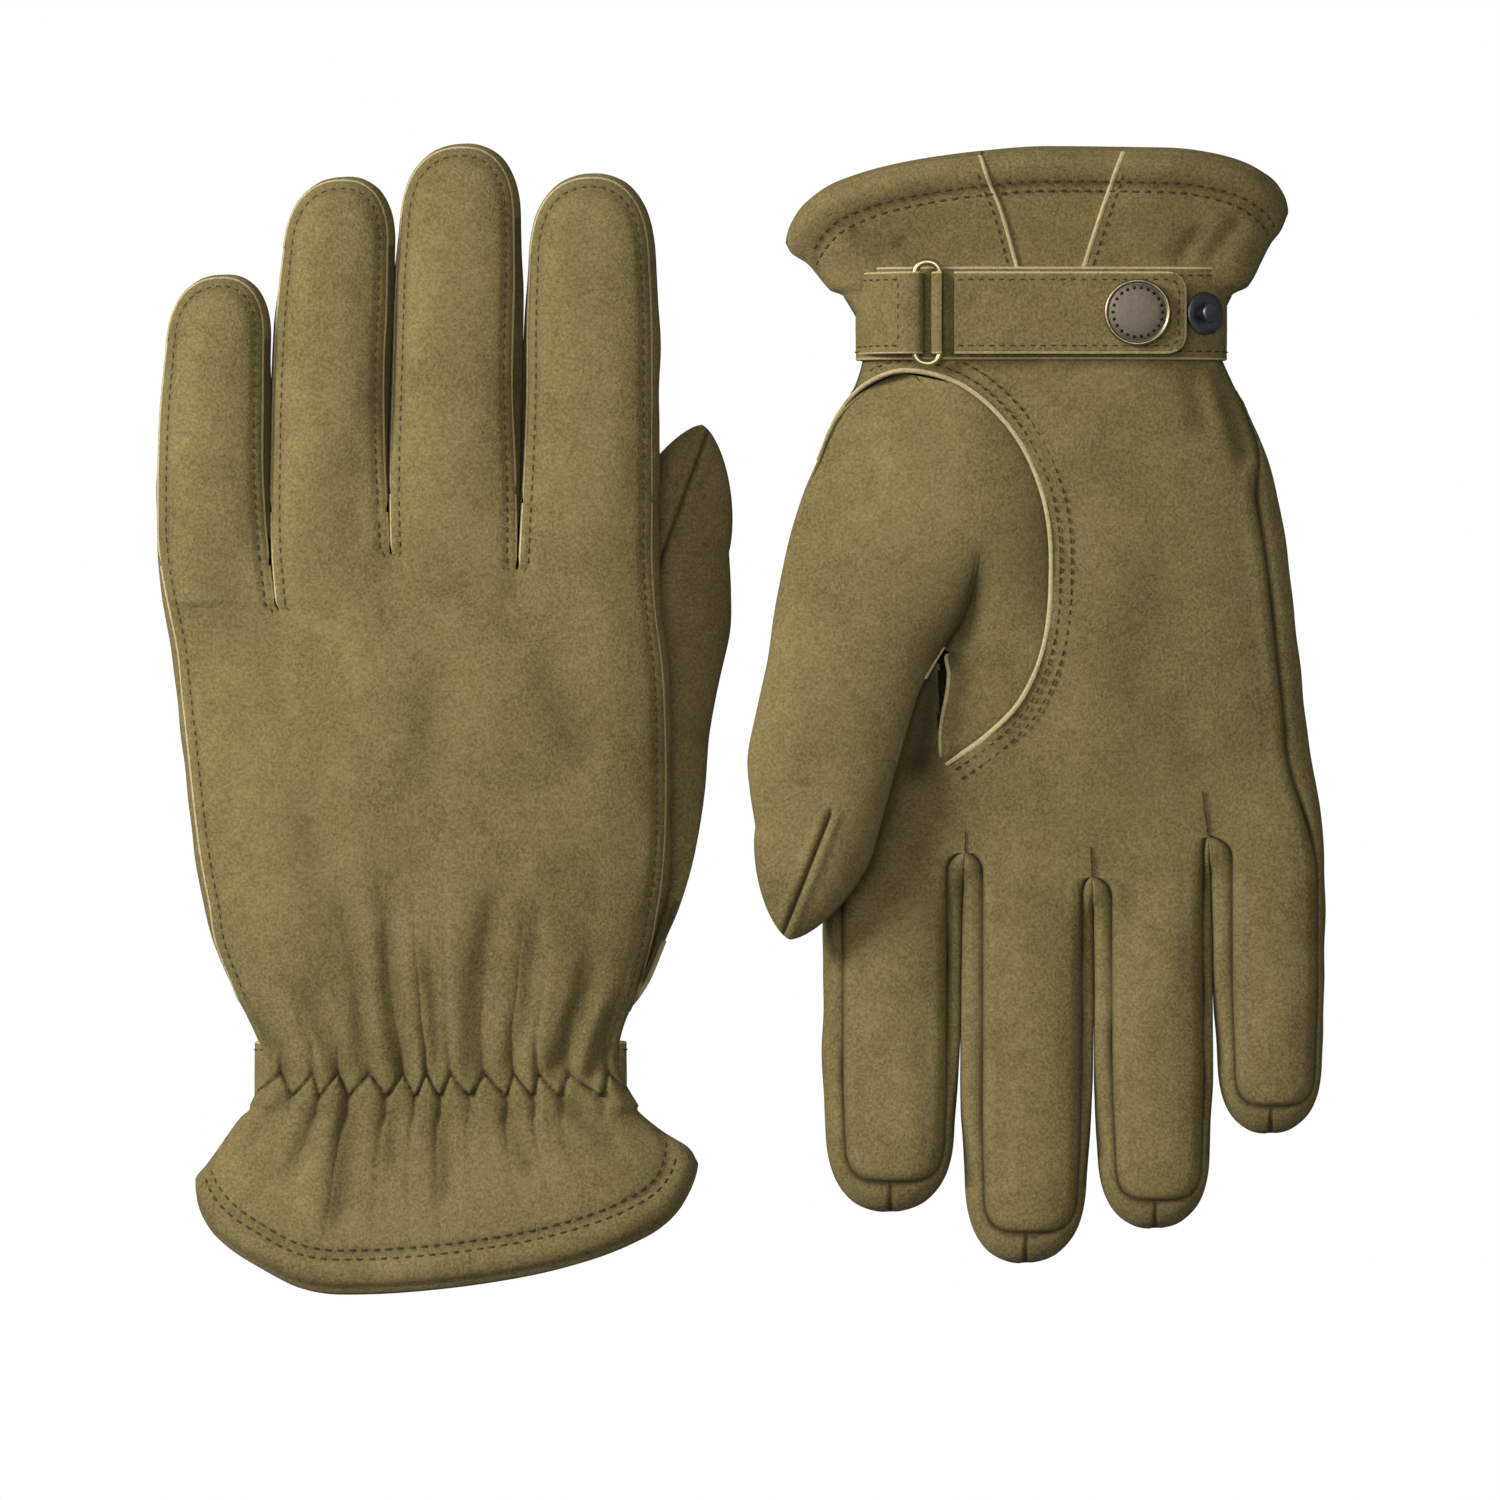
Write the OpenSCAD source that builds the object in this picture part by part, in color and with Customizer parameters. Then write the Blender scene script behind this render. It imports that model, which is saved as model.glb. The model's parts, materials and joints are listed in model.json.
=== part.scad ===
// Pair of leather driving gloves, laid flat: the left one palm down, the right one palm up.
// Each glove is drawn once about its wrist centre: +X to the thumb, +Y to the fingertips, +Z to the back
// of the hand. The right glove is the same form turned through its wrist centre, which also mirrors it.

/* [Leather] */
// Thickness of the glove leather
leather = 1.2; // [0.9:0.1:1.4]
// Gap left between two pieces that move on each other
play = 0.3; // [0.2:0.05:0.4]

/* [Hand] */
// Length of the middle finger tip from the wrist line
reach = 211.5; // [208:0.5:215]
// Thickness of the hand over the palm
palm_t = 25; // [23:0.5:27]
// Thickness of a finger
finger_t = 19.5; // [18:0.5:20.5]
// Drop of the fingertips towards the palm at rest
curl = 11; // [6:1:14]
// Height of the back seam above the middle of the hand
back_seam = 5; // [4:0.5:5.5]
// Depth of the palm seam below the middle of the hand
palm_seam = 6.5; // [5.5:0.5:7]

/* [Joints] */
// Largest bend of a finger
finger_bend = 60; // [40:5:65]
// Largest bend of the thumb
thumb_bend = 40; // [30:5:45]

/* [Strap] */
// Width of the strap sewn round the wrist
strap_w = 20.8; // [18:0.2:21]
// Width of the loose strap and of the tab
flap_w = 18.4; // [16:0.2:18.6]
// Thickness of the loose strap
flap_t = 1.8; // [1.4:0.1:2]
// Diameter of the press-stud cap
cap_d = 15; // [12:0.5:15]
// Thickness of the ring's wire
wire = 1.6; // [1.2:0.1:1.8]
// Diameter of a stud's head
stud_d = 4.4; // [4:0.1:4.8]

/* [Place] */
// Left glove's wrist centre, on the floor plan
left_at = [-69.7, -83.1]; // [-140:0.1:140]
// Right glove's wrist centre, on the floor plan
right_at = [67.6, 90.5]; // [-140:0.1:140]

/* [Hidden] */
far = 300;
olive = [0.47, 0.42, 0.27];
olive_dark = [0.36, 0.32, 0.2];
raw = [0.68, 0.62, 0.4];
brass = [0.62, 0.53, 0.32];
aged = [0.4, 0.35, 0.27];
gunmetal = [0.16, 0.17, 0.2];
// fingers: little, ring, middle, index: centre, half width, tip, and where each one bends
finger_x = [-50, -23.6, 4.5, 35.3];
finger_hw = [12.2, 13, 14, 14.7];
finger_tip = [reach - 29.5, reach - 7.5, reach, reach - 9];
bend_y = [133, 145, 149, 147];
finger_cut = [-80, -37.2, -10.05, 19.45, 90];
crotch_y = [107, 118.5, 116];
base_y = [112, 114, 120, 119];
axis_z = -4;
// the thumb: its path, and the frame of its bend
thumb_lean = 12;
thumb_roll = 20;
thumb_at = [46.5, 106, -17];
left_drop = 25.6;
right_drop = 17.6;
strap_gap = 0.15;
strap_t = 1.2;
bar_z = -14.3;
ring_x = 27;
bar_gap = 2.8;
ring_half = 10.5;
eye_r = wire / 2 + 0.1;
eye_wall = 1.05;
flap_low = bar_z - eye_r - eye_wall + flap_t;
flap_end = -31;
cap_x = -20;
spare_x = -35.2;
spare_z = 8.8;
spare_tilt = 34;
left_thumb_y = 149;
right_thumb_y = 140;

// height of the middle of the hand: the fingers droop towards the palm
function mid(y) = y < 100 ? 0 : -curl * pow((y - 100) / 112, 1.7);

// points of a rounded section: a superellipse of the given power
function section(n, steps = 20) = [
  for (i = [0:steps - 1]) let (a = 360 * (i + 0.5) / steps)
    [sign(cos(a)) * pow(abs(cos(a)), 2 / n), sign(sin(a)) * pow(abs(sin(a)), 2 / n)]
];

// a ring round the hand: row = [y, x from, x to, thickness, power], g smaller all round
function ring(row, g) = [
  for (p = section(row[4]))
    [(row[1] + row[2]) / 2 + p[0] * ((row[2] - row[1]) / 2 - g), row[0], mid(row[0]) + p[1] * (row[3] / 2 - g)]
];

// the solid between two rings
module span(a, b) {
  hull()
    polyhedron(concat(a, b), [[for (i = [0:len(a) - 1]) i], [for (i = [0:len(b) - 1]) len(a) + i]]);
}

module chain(rows, g) {
  for (i = [0:len(rows) - 2])
    span(ring(rows[i], g), ring(rows[i + 1], g));
}

// rows of the hand from the cuff's mouth to the crotches
function hand_rows() = [
  [-52, -57, 62, 35.5, 2.6], [-34, -55.5, 60.5, 35, 2.6], [-20, -51.5, 58, 31, 2.6],
  [-14, -46.5, 48.5, 27, 3], [-10.7, -38.5, 39, 22.5, 3.4], [0, -37.5, 37.5, 22, 3.4],
  [12, -38, 39.5, 22.5, 3], [29, -45.5, 47, 24.5, 2.6], [47, -51.5, 52, palm_t, 2.4],
  [87, -59, 52.3, palm_t, 2.5]
];

// rows of one finger, from inside the hand to the tip; the last ones draw back by g with the wall
function finger_rows(i, g) =
  let (x = finger_x[i], w = finger_hw[i], t = finger_t, tip = finger_tip[i] - g) [
    [86, x - w + 4, x + w - 4, t - 3, 2.3], [base_y[i], x - w, x + w, t + 1.2, 2.3],
    [bend_y[i] - 8, x - w, x + w, t + 0.4, 2.3],
    [tip - 24, x - w, x + w, t, 2.3], [tip - 11, x - w * 0.94, x + w * 0.94, t - 2, 2.2],
    [tip - 4.5, x - w * 0.76, x + w * 0.76, t - 6, 2.1], [tip - 1.2, x - w * 0.5, x + w * 0.5, t - 11, 2],
    [tip, x - w * 0.24, x + w * 0.24, t - 15, 2]
  ];

module finger(i, g) {
  chain(finger_rows(i, g), g * 0.98);
}

// the hand without its thumb; the knuckle rows stop short of each crotch
module hand(g) {
  chain(hand_rows(), g);
  chain([[87, -59, 52.3, palm_t, 2.5], [crotch_y[0] - g, -61.6, 50.4, palm_t - 2.8, 4]], g);
  chain([[98, -35, 50, palm_t - 2.4, 3.4], [crotch_y[2] - g, -35, 50, palm_t - 4, 4]], g);
  chain([[104, -33, 16, palm_t - 3, 3.6], [crotch_y[1] - g, -33, 16, palm_t - 4.4, 4]], g);
  for (i = [0:3])
    finger(i, g);
}

// the thumb: rows of [x, y, z, width, thickness, lean]; s is how far the tip reaches
function thumb_rows(tip_y, g) =
  let (s = (tip_y - 84) / 56) [
    [31, 34, -4, 38, 19, 8], [37, 58, -8, 39, 21, 14], [44.5, 82, -13.5, 38, 20, 14],
    [50.5, 84 + 19 * s, -17, 32, 17, thumb_lean], [54, 84 + 38 * s, -17.5, 25.5, 15.6, thumb_lean],
    [56.8, 84 + 49 * s, -17.5, 17.5, 13, thumb_lean], [58, 84 + 55 * s - g, -17.5, 8.5, 7.5, thumb_lean],
    [58.3, 84 + 56 * s - g, -17.5, 4, 4, thumb_lean]
  ];

function thumb_ring(row, g) = [
  for (p = section(2.2))
    let (u = p[0] * (row[3] / 2 - g))
      [row[0] + u * cos(row[5]), row[1] - u * sin(row[5]), row[2] + p[1] * (row[4] / 2 - g)]
];

module thumb(tip_y, g) {
  rows = thumb_rows(tip_y, g);
  for (i = [0:len(rows) - 2])
    span(thumb_ring(rows[i], g), thumb_ring(rows[i + 1], g));
}

// the leather of the hand and fingers, as one hollow wall
module hand_wall() {
  difference() {
    hand(0);
    hand(leather);
  }
}

// a zone given by its outline seen from the thumb side, [y, z], between two x
module side_zone(outline, x0 = -far, x1 = far) {
  translate([x0, 0, 0])
    rotate([90, 0, 90])
      linear_extrude(x1 - x0)
        polygon(outline);
}

seam_y = [36, 60, 100, 125, 150, 175, 195, 225];

// everything above the back seam
module above_back_seam() {
  side_zone(concat([[-far, far], [-far, 0], [22, 0]],
    [for (y = seam_y) [y, mid(y) + back_seam]], [[far, -2], [far, far]]));
}

// everything below the palm seam
module below_palm_seam() {
  side_zone(concat([[-far, -far], [-far, 0], [22, 0]],
    [for (y = seam_y) [y, mid(y) - palm_seam]], [[far, -22], [far, -far]]));
}

// zone of one moving fingertip; back is how far its rim stands off the bend, on each side
module tip_zone(i, rim, open) {
  y = bend_y[i];
  fold = tan(finger_bend / 2 + 0.5) * 60;
  side_zone([[y + rim, 60], [y + rim, axis_z], [y + rim + open * fold, axis_z - 60], [far, -60], [far, 60]],
    finger_cut[i], finger_cut[i + 1]);
}

module tip_zones() {
  for (i = [0:3])
    tip_zone(i, -play / 2, -1);
}

// the frame of the thumb's bend: +Y along the thumb, +Z its axis
module at_thumb_bend() {
  translate(thumb_at)
    rotate([0, 0, -thumb_lean])
      rotate([0, -thumb_roll, 0])
        children();
}

// zone of the moving thumb tip
module thumb_zone(rim, open) {
  fold = tan(thumb_bend / 2 + 0.5) * 60;
  at_thumb_bend()
    translate([0, 0, -70])
      linear_extrude(140)
        polygon([[60, rim], [0, rim], [-60, rim + open * fold], [-60, 90], [60, 90]]);
}

// floor plan of the hole that the thumb is sewn into
module thumb_hole() {
  hull() {
    translate([27, 40]) circle(27, $fn = 28);
    translate([25, 55]) circle(25, $fn = 28);
    translate([26, 75]) circle(25.5, $fn = 28);
    translate([58, 60]) square([10, 60], center = true);
  }
}

module thumb_hole_zone() {
  translate([0, 0, -60])
    linear_extrude(60 - palm_seam)
      thumb_hole();
}

// floor plan inside the hem: the left glove's cuff is pulled down further than the right one's
function hem(long) = long
  ? [[-90, -18], [-53, -27], [-24, -44.2], [-4, -43.9], [15, -41.8], [46, -33], [58, -19.5], [90, -10]]
  : [[-90, -18], [-53.5, -27.5], [-38, -32], [-19, -35], [0, -35.6], [18, -33.4], [42, -27.5],
     [58.5, -21], [90, -12]];

module inside_hem(long, up = 0) {
  translate([0, up, -60])
    linear_extrude(120)
      polygon(concat(hem(long), [[90, far], [-90, far]]));
}

// wedge of the palm side's cuff, from the strap to the hem
module gore_zone() {
  translate([0, 0, -60])
    linear_extrude(60)
      polygon([[-5.5, -3], [5.5, -3], [21, -52], [-22, -52]]);
}

module back_panel(long) {
  color(olive)
    difference() {
      intersection() {
        hand_wall();
        above_back_seam();
        inside_hem(long);
      }
      tip_zones();
    }
}

module palm_panel(long, tip_y) {
  color(olive)
    difference() {
      intersection() {
        hand_wall();
        below_palm_seam();
        inside_hem(long);
      }
      tip_zones();
      thumb_hole_zone();
      gore_zone();
      thumb(tip_y, leather);
    }
}

// the bands between the seams: sx picks a stretch of them
module side_band(x0, x1, y0) {
  difference() {
    intersection() {
      hand_wall();
      translate([x0, y0, -60])
        cube([x1 - x0, far, 120]);
    }
    above_back_seam();
    below_palm_seam();
    tip_zones();
  }
}

module fourchettes() {
  color(olive_dark)
    side_band(finger_x[0], finger_x[3], 98);
}

module index_side_strip(tip_y) {
  color(olive)
    difference() {
      side_band(finger_x[3], 90, 22);
      thumb(tip_y, leather);
    }
}

module little_side_strip() {
  color(olive)
    side_band(-90, finger_x[0], 22);
}

module cuff_gore(long) {
  color(olive)
    intersection() {
      hand_wall();
      gore_zone();
      inside_hem(long);
    }
}

// hem turned into the cuff
module cuff_facing(long) {
  color(olive_dark)
    difference() {
      intersection() {
        hand(leather);
        inside_hem(long);
      }
      hand(2 * leather);
      inside_hem(long, 9);
    }
}

// band sewn inside the back of the wrist
module wrist_elastic() {
  color(raw)
    difference() {
      intersection() {
        hand(leather);
        translate([-60, -3, 1])
          cube([120, 6, 40]);
      }
      hand(leather + 0.8);
    }
}

module thumb_base(tip_y) {
  color(olive)
    difference() {
      union() {
        difference() {
          thumb(tip_y, 0);
          difference() {
            hand(0);
            thumb_hole_zone();
          }
        }
        intersection() {
          hand_wall();
          thumb_hole_zone();
          below_palm_seam();
        }
      }
      thumb(tip_y, leather);
      hand(leather);
      thumb_zone(-play / 2, -1);
    }
}

module thumb_tip(tip_y) {
  color(olive)
    intersection() {
      difference() {
        thumb(tip_y, 0);
        thumb(tip_y, leather);
      }
      thumb_zone(play / 2, 1);
    }
}

// the wall of one fingertip beyond its bend
module tip_wall(i) {
  intersection() {
    difference() {
      finger(i, 0);
      finger(i, leather);
    }
    tip_zone(i, play / 2, 1);
  }
}

module tip_back(i) {
  color(olive)
    intersection() {
      tip_wall(i);
      above_back_seam();
    }
}

module tip_palm(i) {
  color(olive)
    intersection() {
      tip_wall(i);
      below_palm_seam();
    }
}

module tip_sides(i) {
  color(olive_dark)
    difference() {
      tip_wall(i);
      above_back_seam();
      below_palm_seam();
    }
}

// the strap sewn round the palm side of the wrist
module wrist(g) {
  chain([[-14, -41, 41.5, 22.6, 3.4], [0, -37.5, 37.5, 22, 3.4], [12, -38, 39.5, 22.5, 3], [14, -39, 40.5, 23, 3]], g);
}

module strap_base() {
  color(olive)
    difference() {
      intersection() {
        wrist(-strap_gap - strap_t);
        translate([-60, -strap_w / 2, -40])
          cube([120, strap_w, 43]);
      }
      wrist(-strap_gap);
      hand(0);
      stud_hole(cap_x, 12.6, 0);
      stud_hole(spare_x, spare_z, spare_tilt);
    }
}

// ring: two bars across the strap and two short ends, with round corners
module strap_ring() {
  bend_r = 1.2;
  color(brass)
    translate([ring_x, 0, bar_z]) {
      for (s = [-1, 1]) {
        translate([s * bar_gap, 0, 0])
          rotate([90, 0, 0])
            cylinder(d = wire, h = 2 * (ring_half - bend_r), center = true, $fn = 32);
        translate([0, s * ring_half, 0])
          rotate([0, 90, 0])
            cylinder(d = wire, h = 2 * (bar_gap - bend_r), center = true, $fn = 32);
        for (t = [0, 1])
          rotate([0, 0, 90 * (s + t)])
            translate((s + t) % 2 == 0 ? [bar_gap - bend_r, ring_half - bend_r, 0]
                                       : [ring_half - bend_r, bar_gap - bend_r, 0])
              rotate_extrude(angle = 90, $fn = 48)
                translate([bend_r, 0])
                  circle(d = wire, $fn = 24);
      }
    }
}

// leather folded round a bar: an eye of leather across the strap
module eye(x) {
  translate([x, 0, bar_z])
    rotate([90, 0, 0])
      cylinder(r = eye_r + eye_wall, h = flap_w, center = true, $fn = 40);
}

module eye_bore(x) {
  translate([x, 0, bar_z])
    rotate([90, 0, 0])
      cylinder(r = eye_r, h = flap_w + 2, center = true, $fn = 40);
}

// a flat length of leather across the strap, given by its outline seen along the strap's width
module strap_piece(outline) {
  rotate([90, 0, 0])
    linear_extrude(flap_w, center = true)
      polygon(outline);
}

module strap_tab() {
  x = ring_x + bar_gap;
  color(olive)
    difference() {
      union() {
        eye(x);
        strap_piece([[x, -16.2], [33.4, -14.6], [37.6, -11.2], [40.4, -7], [41.6, -2.2], [40.3, -2.2],
          [39.4, -5.8], [36.8, -9.6], [33, -12.4], [x, -14.3]]);
      }
      eye_bore(x);
      wrist(-strap_gap - strap_t - 0.05);
    }
}

module strap_flap() {
  x = ring_x - bar_gap;
  color(olive)
    difference() {
      union() {
        eye(x);
        intersection() {
          strap_piece([[x, flap_low - flap_t], [x, flap_low], [flap_end, flap_low],
            [flap_end, flap_low - flap_t]]);
          translate([0, 0, -40])
            linear_extrude(40)
              hull() {
                translate([x - 5, 0]) square([14, flap_w], center = true);
                for (s = [-1, 1])
                  translate([flap_end + 4, s * (flap_w / 2 - 4)])
                    circle(4, $fn = 32);
              }
        }
      }
      eye_bore(x);
      translate([cap_x, 0, flap_low - flap_t - 1])
        cylinder(d = 3.2, h = flap_t + 2, $fn = 32);
    }
}

// cap: a low dome on the flap, with its rim and the post that goes through the leather
module snap_cap() {
  color(aged)
    translate([cap_x, 0, flap_low - flap_t - 0.05])
      rotate([180, 0, 0]) {
        cylinder(d = cap_d, h = 1.1, $fn = 64);
        translate([0, 0, 1.1])
          cylinder(d1 = cap_d - 0.4, d2 = cap_d - 4, h = 1, $fn = 64);
        translate([0, 0, -flap_t - 0.1])
          cylinder(d = 3, h = flap_t + 0.2, $fn = 32);
      }
}

// socket: the ring under the flap that springs over the stud's head
module snap_socket() {
  color(gunmetal)
    translate([cap_x, 0, flap_low + 0.05])
      difference() {
        cylinder(d = 10, h = 1.4, $fn = 48);
        translate([0, 0, 0.55])
          cylinder(d = stud_d + 0.7, h = 2, $fn = 48);
      }
}

// a stud through the strap: an inner plate, a post and a head
module at_stud(x, z, tilt) {
  translate([x, 0, -z])
    rotate([180, tilt, 0])
      children();
}

module stud_hole(x, z, tilt) {
  at_stud(x, z, tilt)
    translate([0, 0, -3])
      cylinder(d = 3.3, h = 6, $fn = 32);
}

module stud(x, z, tilt, rise) {
  color(gunmetal)
    at_stud(x, z, tilt) {
      translate([0, 0, 0.15])
        cylinder(d = 8, h = 0.5, $fn = 48);
      cylinder(d = 3, h = rise, $fn = 32);
      translate([0, 0, rise - 1])
        cylinder(d = stud_d, h = 1, $fn = 48);
    }
}

module snap_stud() {
  stud(cap_x, 12.05, 0, 1.6);
}

module spare_stud() {
  stud(spare_x, spare_z, spare_tilt, 3.2);
}

module left() {
  translate([left_at[0], left_at[1], left_drop])
    children();
}

module right() {
  translate([right_at[0], right_at[1], right_drop])
    rotate([0, 0, 180])
      mirror([0, 0, 1])
        children();
}

left() back_panel(true);  // left_back_panel
left() palm_panel(true, left_thumb_y);  // left_palm_panel
left() fourchettes();  // left_fourchettes
left() index_side_strip(left_thumb_y);  // left_index_side_strip
left() little_side_strip();  // left_little_side_strip
left() thumb_base(left_thumb_y);  // left_thumb_base
left() thumb_tip(left_thumb_y);  // left_thumb_tip
left() cuff_gore(true);  // left_cuff_gore
left() cuff_facing(true);  // left_cuff_facing
left() wrist_elastic();  // left_wrist_elastic
left() strap_base();  // left_strap_base
left() strap_tab();  // left_strap_tab
left() strap_ring();  // left_strap_ring
left() strap_flap();  // left_strap_flap
left() snap_cap();  // left_snap_cap
left() snap_socket();  // left_snap_socket
left() snap_stud();  // left_snap_stud
left() spare_stud();  // left_spare_stud
left() tip_back(0);  // left_little_tip_back
left() tip_palm(0);  // left_little_tip_palm
left() tip_sides(0);  // left_little_tip_sides
left() tip_back(1);  // left_ring_tip_back
left() tip_palm(1);  // left_ring_tip_palm
left() tip_sides(1);  // left_ring_tip_sides
left() tip_back(2);  // left_middle_tip_back
left() tip_palm(2);  // left_middle_tip_palm
left() tip_sides(2);  // left_middle_tip_sides
left() tip_back(3);  // left_index_tip_back
left() tip_palm(3);  // left_index_tip_palm
left() tip_sides(3);  // left_index_tip_sides
right() back_panel(false);  // right_back_panel
right() palm_panel(false, right_thumb_y);  // right_palm_panel
right() fourchettes();  // right_fourchettes
right() index_side_strip(right_thumb_y);  // right_index_side_strip
right() little_side_strip();  // right_little_side_strip
right() thumb_base(right_thumb_y);  // right_thumb_base
right() thumb_tip(right_thumb_y);  // right_thumb_tip
right() cuff_gore(false);  // right_cuff_gore
right() cuff_facing(false);  // right_cuff_facing
right() wrist_elastic();  // right_wrist_elastic
right() strap_base();  // right_strap_base
right() strap_tab();  // right_strap_tab
right() strap_ring();  // right_strap_ring
right() strap_flap();  // right_strap_flap
right() snap_cap();  // right_snap_cap
right() snap_socket();  // right_snap_socket
right() snap_stud();  // right_snap_stud
right() spare_stud();  // right_spare_stud
right() tip_back(0);  // right_little_tip_back
right() tip_palm(0);  // right_little_tip_palm
right() tip_sides(0);  // right_little_tip_sides
right() tip_back(1);  // right_ring_tip_back
right() tip_palm(1);  // right_ring_tip_palm
right() tip_sides(1);  // right_ring_tip_sides
right() tip_back(2);  // right_middle_tip_back
right() tip_palm(2);  // right_middle_tip_palm
right() tip_sides(2);  // right_middle_tip_sides
right() tip_back(3);  // right_index_tip_back
right() tip_palm(3);  // right_index_tip_palm
right() tip_sides(3);  // right_index_tip_sides
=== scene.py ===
import json
import math
import bpy
import numpy as np
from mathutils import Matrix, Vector


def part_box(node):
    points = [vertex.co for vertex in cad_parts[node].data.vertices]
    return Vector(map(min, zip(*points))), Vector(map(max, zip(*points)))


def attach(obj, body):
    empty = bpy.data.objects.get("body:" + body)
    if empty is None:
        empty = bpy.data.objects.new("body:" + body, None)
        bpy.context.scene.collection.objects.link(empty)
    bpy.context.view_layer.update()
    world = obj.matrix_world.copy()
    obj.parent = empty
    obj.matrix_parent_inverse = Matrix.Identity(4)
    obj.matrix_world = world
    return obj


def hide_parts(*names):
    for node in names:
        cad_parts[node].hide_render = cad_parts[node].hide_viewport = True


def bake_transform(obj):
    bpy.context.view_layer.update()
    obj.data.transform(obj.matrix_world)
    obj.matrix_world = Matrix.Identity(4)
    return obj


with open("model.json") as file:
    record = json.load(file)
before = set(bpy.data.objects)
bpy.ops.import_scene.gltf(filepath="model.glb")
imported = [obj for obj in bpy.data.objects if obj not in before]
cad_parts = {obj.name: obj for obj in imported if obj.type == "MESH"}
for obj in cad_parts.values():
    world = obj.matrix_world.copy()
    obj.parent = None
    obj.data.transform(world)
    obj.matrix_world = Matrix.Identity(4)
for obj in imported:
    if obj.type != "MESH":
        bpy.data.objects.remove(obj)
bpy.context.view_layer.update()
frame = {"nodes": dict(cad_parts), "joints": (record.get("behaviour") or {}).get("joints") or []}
rng = np.random.default_rng(11)

# sizes in millimetres about each glove's wrist:
# x to the thumb, y to the fingertips, z to the back of the hand
mm = 0.001
hand = {
    "curl": 11.0, "backSeam": 3.8, "palmSeam": 6.5, "power": 2.3, "fingerT": 9.75,
    "wristY": -4.0, "edge": 0.9, "backGap": 48.0, "palmShift": -1.1, "backShift": -0.8,
}
fingers = [
    {"name": "little", "x": -50.0, "w": 12.2, "tip": 182.0, "bend": 133.0},
    {"name": "ring", "x": -23.6, "w": 13.0, "tip": 204.0, "bend": 145.0},
    {"name": "middle", "x": 4.5, "w": 14.0, "tip": 211.5, "bend": 149.0},
    {"name": "index", "x": 35.3, "w": 14.7, "tip": 202.5, "bend": 147.0},
]
# the slits between the fingers: where each starts on the back and on the palm side, and its line
slits = [
    {"back": 107.0, "palm": 117.5, "at": -34.6,
     "line": [(107, -34.6), (122, -36.4), (145, -37.2), (200, -37.2)]},
    {"back": 119.5, "palm": 126.5, "at": -9.6,
     "line": [(119.5, -9.6), (143, -10.6), (170, -10.4), (200, -9.9)]},
    {"back": 116.0, "palm": 121.0, "at": 18.4, "line": [(116, 18.4), (143, 19.2), (200, 19.5)]},
]
leftEdge = [(-4, -41.6), (0, -39.7), (3, -38.7), (8, -38.7), (10.8, -39.8), (15.2, -41.8), (19.7, -44.0),
            (24.2, -45.8),
            (28.7, -47.8), (33.2, -49.6), (42, -51.7), (51, -53.5), (60, -54.7), (78, -56.6), (87, -57.6),
            (100, -58.9), (116, -60.4), (125, -61.6), (140, -62.0), (210, -62.2)]
rightEdge = [(-4, 45.6), (0, 43.2), (3, 41.7), (8, 41.2), (10.8, 41.5), (15.2, 42.8), (19.7, 44.8),
             (28.7, 47.4),
             (33.2, 48.9), (42, 51.2), (52, 52.4), (70, 52.8), (87, 52.4), (109, 50.8), (125, 50.0),
             (210, 50.0)]
halfThick = [(-4, 11), (12, 11.2), (29, 12.2), (47, 12.5), (87, 12.5), (107, 11.4), (125, 10.3),
             (140, 9.9), (210, 9.75)]
sectionPower = [(-4, 3.2), (12, 2.9), (29, 2.6), (47, 2.4), (110, 2.5), (130, 2.3), (210, 2.3)]


# a smooth curve through a list of knots, flat beyond its ends
def through(t, knots):
    kx = np.array([k[0] for k in knots], float)
    ky = np.array([k[1] for k in knots], float)
    t = np.clip(np.asarray(t, float), kx[0], kx[-1])
    rise = np.diff(ky) / np.diff(kx)
    slope = np.concatenate([[rise[0]], (rise[1:] + rise[:-1]) / 2, [rise[-1]]])
    flat = np.concatenate([[False], rise[1:] * rise[:-1] <= 0, [False]])
    slope[flat] = 0
    i = np.clip(np.searchsorted(kx, t, side="right") - 1, 0, len(kx) - 2)
    h = kx[i + 1] - kx[i]
    u = (t - kx[i]) / h
    return ((2 * u**3 - 3 * u**2 + 1) * ky[i] + (u**3 - 2 * u**2 + u) * h * slope[i]
            + (3 * u**2 - 2 * u**3) * ky[i + 1] + (u**3 - u**2) * h * slope[i + 1])


def ease(t):
    t = np.clip(t, 0.0, 1.0)
    return t * t * (3 - 2 * t)


def mix(a, b, t):
    return a + (b - a) * t


# height of a superellipse of half thickness 1 at the relative offset x
def crown(x, n):
    return np.clip(1 - np.abs(x)**n, 0, 1)**(1 / n)


# the fingers droop: height of the middle of the hand
def middle(y):
    return -hand["curl"] * (np.clip(np.asarray(y, float) - 100, 0, None) / 112)**1.7


def handEdges(y):
    return through(y, leftEdge), through(y, rightEdge)


# the hand's section is a superellipse between its two edges
def handZ(x, y):
    lo, hi = handEdges(y)
    return through(y, halfThick) * crown((x - (lo + hi) / 2) / ((hi - lo) / 2), through(y, sectionPower))


# the hand's own two sides, which have no slit beside them
def isOuter(i, high):
    return (i == 0 and not high) or (i == 3 and high)


def seamDepth(y, side):
    deep = hand["backSeam"] if side > 0 else hand["palmSeam"]
    return deep * ease((y - 16) / 26)


# the slit's line; below its start it runs down to the wrist, keeping its share of the hand's width
def slitX(k, y):
    slit = slits[k]
    start = slit["line"][0][0]
    lo, hi = handEdges(y)
    share = (slit["at"] + 5) / 56
    below = (lo + hi) / 2 + share * (hi - lo) / 2
    return np.where(y < start, mix(below, slit["at"], ease((y - 20) / (start - 20))),
                    through(y, slit["line"]))


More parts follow.
